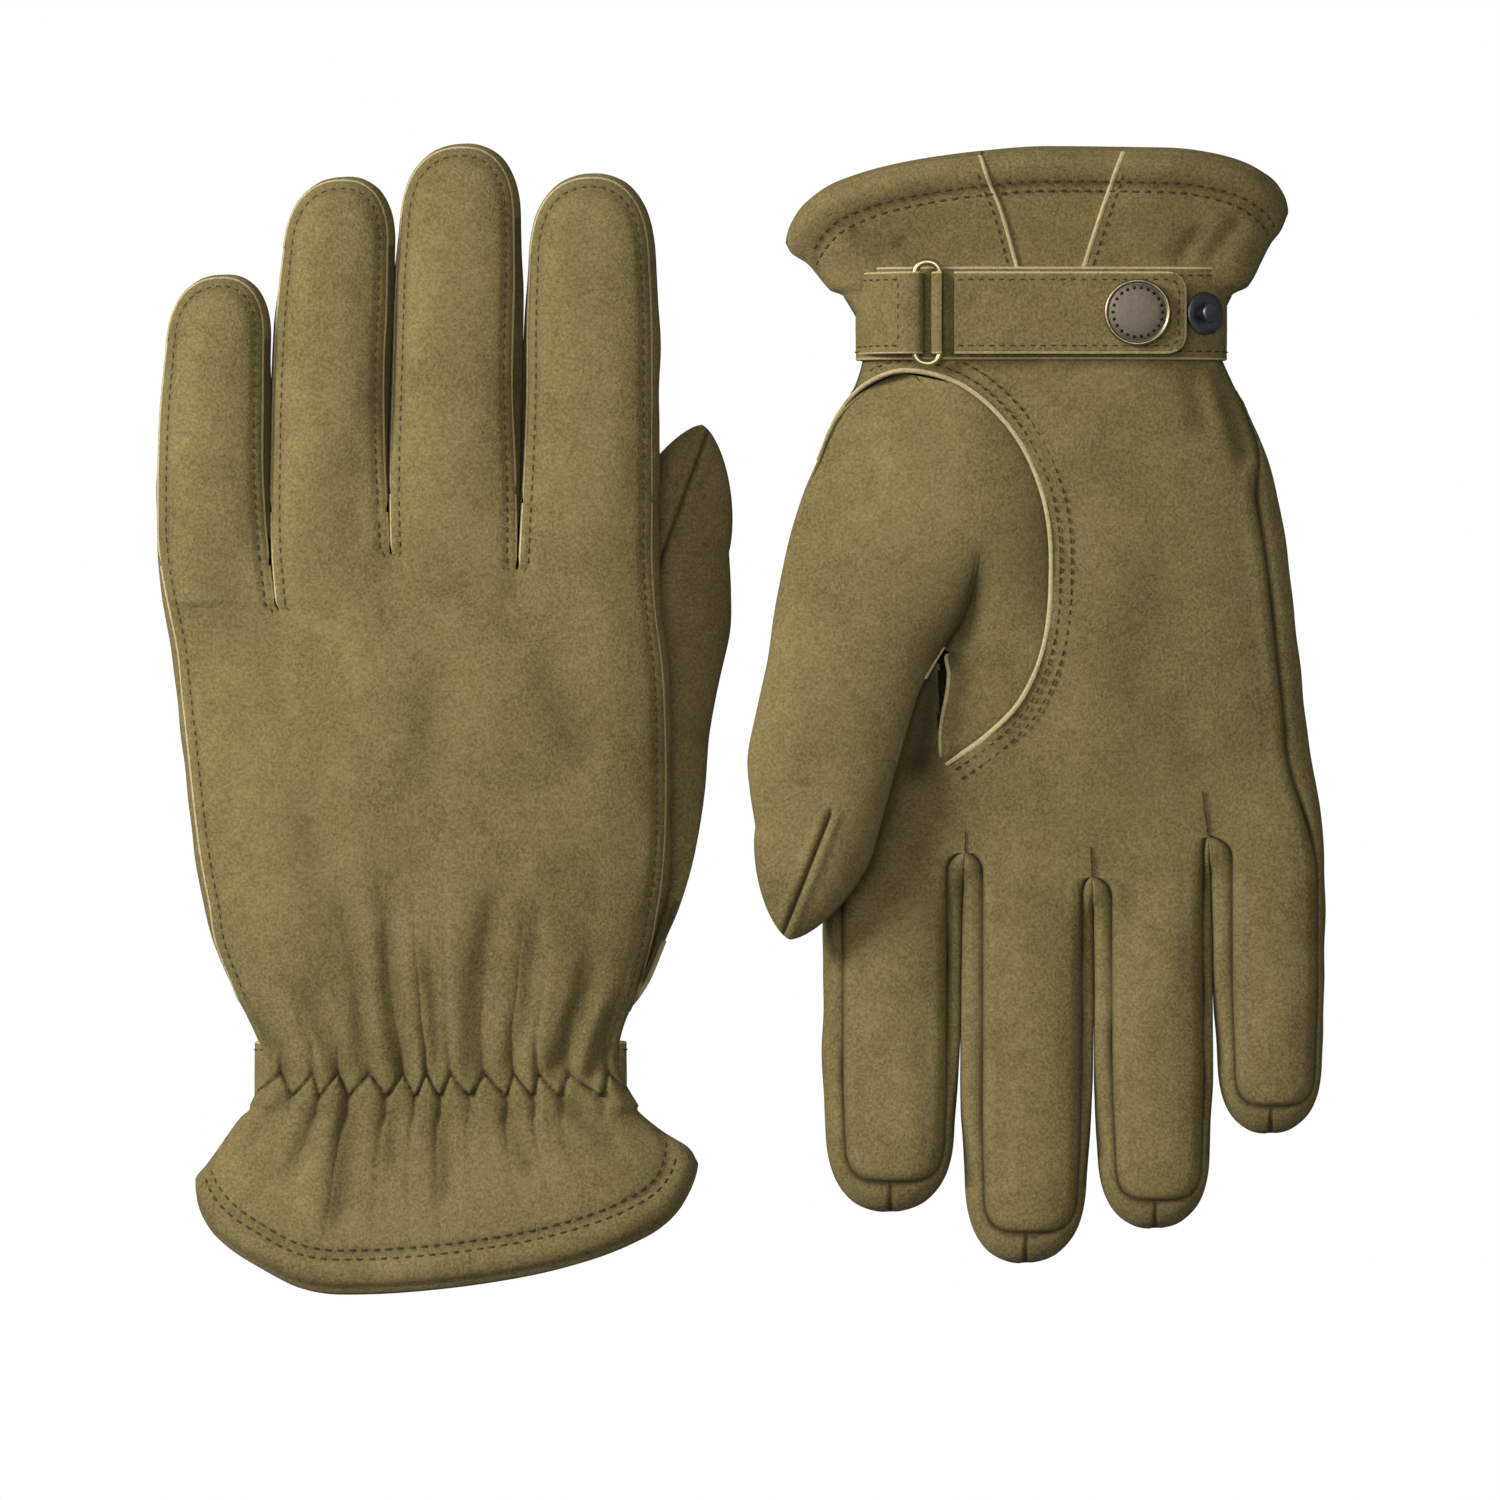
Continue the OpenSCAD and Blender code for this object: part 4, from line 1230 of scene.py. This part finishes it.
# the flat part of the thumb's piece, from the hole's edge to the foot of the thumb
def patchGrid(v, shares):
    v = np.asarray(v, float)[:, None]
    w = np.asarray(shares, float)[None, :]
    rim = holeU(v)
    lip = [(36, -22.2), (39.4, -20.4), (43, -21.7), (48, -22.3), (52, -22.4), (57, -22.8), (62, -24.2),
           (66, -25.6)]
    inner = np.where(v < 38, through(v, thumbIn), through(v, lip))
    u = mix(rim - 0.6, np.maximum(inner, rim - 0.3), w)
    x, y = fromThumb(u, v)
    sink = 1.5 * np.exp(-((u - inner) / 5.0)**2) * ease((v - 8) / 22)
    puff = 0.9 * np.sin(np.pi * w)
    z = palmLevel(x, y) + 0.6 + 0.3 * w + sink - puff + uneven(x, y, 0.4)
    z = mix(thumbDome(u, v, rim, through(v, thumbOut)), z, ease((v - 4) / 32))
    lifted = ease((v - 37.5) / 3) * (1 - ease((v - 60) / 4))
    z = z - (3.3 * np.exp(-((u - inner) / 3.4)**2) - 0.4) * lifted
    # painted shade in the valley beside the thumb and along the hole's edge
    shade = 0.75 * np.exp(-((u - inner) / 2.6)**2) * ease((v - 6) / 18) * (1 - ease((v - 38) / 8))
    shade = shade + 0.5 * np.exp(-((u - rim) / 0.8)**2)
    return stack(x, y, z, shade)


# the thumb: its base on the hand, with the patch beside it, and its tip
def buildThumb(glove):
    side = glove["side"]
    turns = np.concatenate([np.linspace(0, np.pi, 57), np.linspace(np.pi, 2 * np.pi, 37)[1:]])
    rows = np.concatenate([np.arange(-20.6, thumb["split"], 0.9), [thumb["split"]]])
    base = newShape()
    addGrid(base, thumbRing(glove, rows, turns, welded=True), 0, flip=True)
    low = np.append(np.arange(-20.6, 37.4, 0.9), np.arange(37.4, 64.6, 0.5))
    patch = patchGrid(low, np.linspace(0, 1, 34))
    addGrid(base, patch, 0, flip=True)
    lip = patch[low >= 38.6, -1, :3]
    strip = [lip + [over, 0, rise] for over, rise in ((-0.3, -0.04), (0.1, -0.25), (0.45, -0.1), (0.5, 1.2))]
    addGrid(base, np.stack(strip, 1), 1, flip=True)
    # a tuck of leather from the thumb's outer line up behind the hole's edge
    v = np.linspace(-20.6, 12, 40)[:, None]
    drop = np.linspace(0, 1, 6)[None, :]
    x, y = fromThumb(through(v, thumbOut) - 0.5 - 1.2 * drop, v)
    z = mix(through(v, thumbMid) - 0.6, middle(y) + 5.5, drop)
    addGrid(base, stack(x, y, z), 0, flip=True)
    # the slit's other side: the pale edge runs a little way down the thumb's inner wall
    v = np.linspace(37.6, 45.5, 24)
    x, y = fromThumb(through(v, thumbIn) + 0.15, v)
    z = palmLevel(x, y) - 0.9 - 2.6 * ease((v - 38) / 8)
    wall = np.stack([x, y, z], 1)
    strip = [wall + [over, 0, rise] for over, rise in ((-0.45, 0.8), (-0.35, -0.2), (0.1, -0.35), (0.4, 0.3))]
    addGrid(base, np.stack(strip, 1), 1, flip=True)
    addRider(glove, "thumb_base", base, leatherLooks, "hand", ("thumb_base",))
    tip = newShape()
    spread = np.concatenate([np.arange(thumb["split"], thumb["capFrom"], 0.8),
                             mix(thumb["capFrom"], thumb["end"], np.sin(np.linspace(0, np.pi / 2, 36)))])
    fine = np.unique(np.concatenate([turns, np.linspace(1.1, 1.9, 41), np.linspace(4.4, 5.2, 41)]))
    addGrid(tip, thumbRing(glove, spread, fine), 0, flip=True)
    piece = makeObject(f"{side}_thumb_tip", tip, glove, leatherLooks)
    hinge = [j for j in frame["joints"] if j["name"] == f"{side}_thumb_bend"][0]
    at = np.array(hinge["pos_m"])
    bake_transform(piece)
    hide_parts(f"{side}_thumb_tip")


# straps: a band seen along the glove, carried across the strap's width
def lineNormals(line):
    d = unit(np.gradient(line, axis=0))
    return np.stack([d[:, 1], -d[:, 0]], 1)


# a strip of leather with pale cut edges: outer face, rounded edges and inner face
def addBand(shape, line, width, thick, centre=(0.0, 0.0)):
    normal = lineNormals(line)
    middleOne = len(line) // 2
    normal = normal * np.sign(np.dot(normal[middleOne], line[middleOne] - np.array(centre)))
    profile = [(-1, 0.0, 1), (-1, 0.62, 1), (-0.985, 0.93, 1), (-0.955, 1.0, 1), (-0.93, 1.0, 0),
               (-0.84, 0.93, 0),
               (-0.78, 0.98, 0), (-0.3, 1.03, 0), (0.3, 1.03, 0), (0.78, 0.98, 0), (0.84, 0.93, 0),
               (0.93, 1.0, 0),
               (0.955, 1.0, 1), (0.985, 0.93, 1), (1, 0.62, 1), (1, 0.0, 1)]
    y = np.array([p[0] for p in profile]) * width / 2
    h = np.array([p[1] for p in profile]) * thick
    grid = np.zeros((len(line), len(profile), 3))
    grid[..., 0] = line[:, :1] + normal[:, :1] * h[None, :]
    grid[..., 1] = y[None, :]
    grid[..., 2] = line[:, 1:] + normal[:, 1:] * h[None, :]
    faces = np.array([1 if profile[k][2] and profile[k + 1][2] else 0 for k in range(len(profile) - 1)])
    addGrid(shape, grid, np.tile(faces, len(line) - 1))
    under = np.stack([grid[:, -1], grid[:, 0]], 1)
    addGrid(shape, under, 0)
    for end in (0, -1):
        lid = np.stack([grid[end], grid[end] - np.array([normal[end, 0], 0, normal[end, 1]]) * h[:, None]], 0)
        addGrid(shape, lid, 3)
    return normal


# half a superellipse round the palm side of the wrist, as evenly spaced points
def wristLine(grow, count):
    s = np.sin(np.linspace(-1, 1, 721) * np.pi / 2)
    line = np.stack([s * (40.3 + grow) + 1.2, -(11.0 + grow) * crown(s, 3.4)], 1)
    length = np.concatenate([[0], np.cumsum(np.linalg.norm(np.diff(line, axis=0), axis=1))])
    t = np.linspace(0, length[-1], count)
    return np.stack([np.interp(t, length, line[:, 0]), np.interp(t, length, line[:, 1])], 1)


# a row of stitches inside each edge of a band, from one of its points on
def strapStitches(shape, line, normal, width, thick, inset, start=0):
    at = line + normal * thick * 0.95
    up = np.stack([normal[:, 0], 0 * normal[:, 0], normal[:, 1]], 1)
    for side in (-1, 1):
        path = np.stack([at[:, 0], np.full(len(line), side * (width / 2 - inset)), at[:, 1]], 1)
        addStitches(shape, path[start:], up[start:])


strap = {"width": 20.8, "thick": 1.15, "inset": 1.9}
tab = {"width": 18.4, "thick": 1.05, "inset": 1.8, "sewnAt": 33.6}
flap = {"end": -31.0, "corner": 4.2, "thick": 1.8, "curl": 0.5, "inset": 1.8}
bars = {"in": 24.2, "out": 29.8}
flapLow = ring["z"] - ring["eye"] - tab["thick"] + flap["thick"]


# how far the flap's free end stands off, from its middle out
def flapCurl(x):
    return np.clip(-x / -flap["end"], 0, 1)**2 * flap["curl"]


# the band sewn round the palm side of the wrist
def buildStrapBase(glove):
    shape = newShape()
    line = wristLine(0.3, 120)
    line = np.concatenate([[line[0] + [2.2, 1.9], line[0] + [0.5, 1.3]], line,
                           [line[-1] + [-0.5, 1.3], line[-1] + [-2.2, 1.9]]])
    normal = addBand(shape, line, strap["width"], strap["thick"])
    strapStitches(shape, line, normal, strap["width"], strap["thick"], strap["inset"])
    addRider(glove, "strap_base", shape, leatherLooks, "hand", ("strap_base",))


# the tab: from under the ring's bar, round it and down the side of the wrist
def buildStrapTab(glove):
    shape = newShape()
    a = np.linspace(0.5 * np.pi, 1.5 * np.pi, 17)
    loop = np.stack([bars["out"] + ring["eye"] * np.cos(a), ring["z"] + ring["eye"] * np.sin(a)], 1)
    over = [[31.6, -15.1], [34.0, -14.2], [37.6, -11.4], [40.6, -7.2], [41.9, -2.0]]
    outside = smoothLine(np.concatenate([loop, over]), 60)
    normal = addBand(shape, outside, tab["width"], tab["thick"], (34.0, -10.0))
    strapStitches(shape, outside, normal, tab["width"], tab["thick"], tab["inset"], 16)
    cross = np.stack([np.full(20, tab["sewnAt"]), np.linspace(-7.2, 7.2, 20), np.full(20, -15.45)], 1)
    addStitches(shape, cross, np.tile([[0.35, 0, -0.94]], (20, 1)))
    addRider(glove, "strap_tab", shape, leatherLooks, "hand", ("strap_tab",))


# the flap: an outline with rounded corners at its free end, folded round the ring's other bar
def buildStrapFlap(glove):
    shape = newShape()
    half, end, corner = tab["width"] / 2, flap["end"], flap["corner"]
    ys = np.concatenate([[-1, -0.99, -0.95], np.linspace(-0.9, 0.9, 19), [0.95, 0.99, 1]]) * half
    xs = np.concatenate([[0, 0.12, 0.45], np.linspace(1.0, 52, 60)])
    fall = np.clip(np.abs(ys) - (half - corner), 0, corner)
    rounded = corner - np.sqrt(np.clip(corner**2 - fall**2, 0, None))
    gx = end + rounded[None, :] * (1 - ease(xs / 50))[:, None] + xs[:, None]
    gx = np.minimum(gx, bars["in"])
    gy = ys[None, :] + 0 * gx
    edgeGap = np.minimum(np.minimum(half - np.abs(gy), gx - (end + rounded[None, :])), 3)
    outer = flapLow - flap["thick"] + flapCurl(gx) - 0.10 * np.exp(-((edgeGap - 1.7) / 0.5)**2)
    rounding = 0.5 * np.clip(1 - edgeGap / 0.55, 0, 1)**2
    top = stack(gx, gy, outer + rounding)
    bottom = stack(gx, gy, flapLow + flapCurl(gx) - rounding * 0.3)
    gapFace = (edgeGap[:-1, :-1] + edgeGap[1:, 1:]) / 2
    addGrid(shape, top, np.where(gapFace.ravel() < 0.5, 1, 0), flip=True)
    addGrid(shape, bottom, 3)
    border, lowBorder = [np.concatenate([g[::-1, 0], g[0, 1:], g[1:, -1]])[:, :3] for g in (top, bottom)]
    addGrid(shape, np.stack([mix(border, lowBorder, share) for share in (0, 0.3, 0.7, 1)], 1), 1)
    a = np.linspace(1.5 * np.pi, 2.5 * np.pi, 17)
    loop = np.stack([bars["in"] + ring["eye"] * np.cos(a), ring["z"] + ring["eye"] * np.sin(a)], 1)
    head = [[bars["in"] - 0.3, ring["z"] - ring["eye"]]]
    tail = [[bars["in"] - 4, ring["z"] + ring["eye"] + 0.02]]
    fold = smoothLine(np.concatenate([head, loop, tail]), 40)
    addBand(shape, fold, tab["width"], tab["thick"], (bars["in"] - 3, ring["z"]))
    run = np.stack([mix(bars["in"] - 3.5, end + corner, np.linspace(0, 1, 60)),
                    np.full(60, half - flap["inset"])], 1)
    radius = corner - flap["inset"]
    turned = []
    for start, side in ((np.pi / 2, 1), (np.pi, -1)):
        a = np.linspace(start, start + np.pi / 2, 20)[1:]
        turned.append(np.stack([end + corner + radius * np.cos(a),
                                side * (half - corner) + radius * np.sin(a)], 1))
    cross = np.stack([np.full(30, end + flap["inset"]), np.linspace(half - corner, -half + corner, 30)],
                     1)[1:]
    outline = np.concatenate([run, turned[0], cross, turned[1], (run * [1, -1])[::-1]])
    height = flapLow - flap["thick"] + flapCurl(outline[:, 0]) - 0.03
    path = np.stack([outline[:, 0], outline[:, 1], height], 1)
    addStitches(shape, path, np.tile([[0, 0, -1.0]], (len(path), 1)))
    addRider(glove, "strap_flap", shape, leatherLooks, "strap", ("strap_flap",))


# a profile of radii and heights turned about a centre
def ringOfTurns(profile, centre, count=64):
    a = np.linspace(0, 2 * np.pi, count + 1)
    r = np.array([p[0] for p in profile])[:, None]
    z = np.array([p[1] for p in profile])[:, None]
    return stack(centre[0] + r * np.cos(a), centre[1] + r * np.sin(a), centre[2] - z + 0 * a)


# a round wire along a closed path
def addWire(shape, path, radius, count=14):
    ahead = unit(np.roll(path, -1, 0) - np.roll(path, 1, 0))
    up = np.tile([[0, 0, 1.0]], (len(path), 1))
    out = unit(np.cross(ahead, up))
    a = np.linspace(0, 2 * np.pi, count + 1)
    rounded = out[:, None] * np.cos(a)[None, :, None] + up[:, None] * np.sin(a)[None, :, None]
    tube = path[:, None] + radius * rounded
    addGrid(shape, np.concatenate([tube, tube[:1]]), 0, flip=True)


# the ring: two straight bars joined by half circles that stand out past the strap
def buildRing(glove):
    shape = newShape()
    middleX, z, apart, reach, bow = ring["x"], ring["z"], ring["bars"], ring["reach"], ring["bow"]
    a = np.linspace(0, np.pi, 25)
    end = np.stack([middleX + apart * np.cos(a), reach + bow * np.sin(a), z + 0 * a], 1)
    other = np.stack([middleX - apart * np.cos(a), -reach - bow * np.sin(a), z + 0 * a], 1)
    down = np.linspace(reach, -reach, 12)[1:-1]
    left = np.stack([middleX - apart + 0 * down, down, z + 0 * down], 1)
    right = np.stack([middleX + apart + 0 * down, -down, z + 0 * down], 1)
    addWire(shape, np.concatenate([end, left, other, right]), ring["wire"])
    addRider(glove, "strap_ring", shape, [brass], "hand", ("strap_ring",))


# the cap: a domed disc with a rolled bright rim and a ring of small plain dots
cap = {
    "x": -20.0, "dots": 22, "dotsAt": 5.5,
    "face": [(0, 1.95), (2.0, 1.94), (4.0, 1.86), (5.6, 1.7), (6.35, 1.52), (6.6, 1.42)],
    "rim": [(6.6, 1.42), (6.7, 1.62), (6.95, 1.8), (7.25, 1.75), (7.45, 1.45), (7.5, 1.0), (7.4, 0.4),
            (7.1, 0.0), (3.0, -0.02)],
    "dot": [(0.0, 1.95), (0.18, 1.93), (0.34, 1.84), (0.42, 1.66)],
}


def buildCap(glove):
    shape = newShape()
    seat = flapLow - flap["thick"] + 0.05
    addGrid(shape, ringOfTurns(cap["face"], (cap["x"], 0.0, seat)), 0)
    addGrid(shape, ringOfTurns(cap["rim"], (cap["x"], 0.0, seat)), 1)
    for k in range(cap["dots"]):
        a = 2 * math.pi * k / cap["dots"]
        spot = (cap["x"] + cap["dotsAt"] * math.cos(a), cap["dotsAt"] * math.sin(a), seat)
        addGrid(shape, ringOfTurns(cap["dot"], spot, count=8), 2)
    addRider(glove, "snap_cap", shape, [agedBrass, wornRim, darkMetal], "strap", ("snap_cap",))


# the spare stud: a dished plate, a waisted post and a flat head, leaning with the side of the wrist
spare = {
    "x": -35.2, "z": -10.1, "tilt": math.radians(31),
    "plate": [(0, 0.5), (2.0, 0.5), (3.3, 0.62), (4.3, 0.6), (4.75, 0.3), (4.8, 0.0)],
    "post": [(0, 3.15), (1.6, 3.2), (2.0, 3.1), (2.2, 2.75), (2.15, 2.35), (1.7, 2.1), (1.4, 1.6),
             (1.45, 0.9),
             (1.7, 0.5)],
}


def buildSpareStud(glove):
    shape = newShape()
    addGrid(shape, ringOfTurns(spare["plate"], (0, 0, 0)), 0)
    addGrid(shape, ringOfTurns(spare["post"], (0, 0, 0), count=40), 0)
    c, n = math.cos(spare["tilt"]), math.sin(spare["tilt"])
    for points in shape["points"]:
        x, z = points[:, 0].copy(), points[:, 2].copy()
        points[:, 0] = x * c + z * n + spare["x"]
        points[:, 2] = -x * n + z * c + spare["z"]
    addRider(glove, "spare_stud", shape, [gunmetal], "hand", ("spare_stud",))


for glove in gloves:
    buildHandBack(glove)
    buildHandPalm(glove)
    buildHandSides(glove)
    for i in range(4):
        buildFinger(glove, i)
    buildThumb(glove)
    buildStrapBase(glove)
    buildStrapTab(glove)
    buildStrapFlap(glove)
    buildRing(glove)
    buildCap(glove)
    buildSpareStud(glove)
    print("stage:", glove["side"], "glove built")

# the press studs' hidden parts keep their CAD shapes and get their own look
for name, part in frame["nodes"].items():
    if name.endswith(("snap_socket", "snap_stud")):
        part.data.materials.clear()
        part.data.materials.append(gunmetal)

# stage: a plain white floor below the gloves, white paper behind, soft light from the upper left
floorMesh = bpy.data.meshes.new("floor")
span = 3.0
corners = [(-span, -span, 0), (span, -span, 0), (span, span, 0), (-span, span, 0)]
floorMesh.from_pydata(corners, [], [(0, 1, 2, 3)])
floor = bpy.data.objects.new("floor", floorMesh)
bpy.context.scene.collection.objects.link(floor)
floor.location.z = -0.075
paper = bpy.data.materials.new("paper")
paper.use_nodes = True
tree = paper.node_tree
tree.nodes.clear()
glow = node(tree.nodes, "ShaderNodeEmission", in_Color=(1, 1, 1, 1))
seen = tree.nodes.new("ShaderNodeLightPath")
level = node(tree.nodes, "ShaderNodeMapRange", in_To_Min=0.12, in_To_Max=1.0)
tree.links.new(seen.outputs["Is Camera Ray"], level.inputs["Value"])
tree.links.new(level.outputs["Result"], glow.inputs["Strength"])
output = tree.nodes.new("ShaderNodeOutputMaterial")
tree.links.new(glow.outputs["Emission"], output.inputs["Surface"])
floorMesh.materials.append(paper)

world = bpy.data.worlds.new("world")
bpy.context.scene.world = world
world.use_nodes = True
world.node_tree.nodes["Background"].inputs["Color"].default_value = (1, 1, 1, 1)
world.node_tree.nodes["Background"].inputs["Strength"].default_value = 0.18


def addLight(name, spot, target, size, power):
    data = bpy.data.lights.new(name, "AREA")
    data.shape = "DISK"
    data.size = size
    data.energy = power
    lamp = bpy.data.objects.new(name, data)
    lamp.location = spot
    lamp.rotation_euler = (Vector(target) - Vector(spot)).to_track_quat("-Z", "Y").to_euler()
    bpy.context.scene.collection.objects.link(lamp)


addLight("keyLight", (-0.9, 0.45, 0.7), (0, 0, 0.0), 0.45, 16.0)
addLight("topLight", (-0.1, 0.25, 1.3), (0, 0, 0.0), 0.7, 6.3)

camData = bpy.data.cameras.new("camera")
camera = bpy.data.objects.new("camera", camData)
bpy.context.scene.collection.objects.link(camera)
bpy.context.scene.camera = camera
# straight above the gloves; "framed" is the width seen at their level, in metres
view = {"x": 0.0009, "y": -0.0074, "distance": 3.0, "level": 0.03, "framed": 0.336, "sensor": 36}
camData.sensor_width = view["sensor"]
camData.lens = view["sensor"] * view["distance"] / view["framed"]
camData.clip_end = 20
camera.location = (view["x"], view["y"], view["distance"] + view["level"])
camera.rotation_euler = (0, 0, 0)
bpy.context.scene.view_settings.view_transform = "Standard"

print("stage: scene ready")
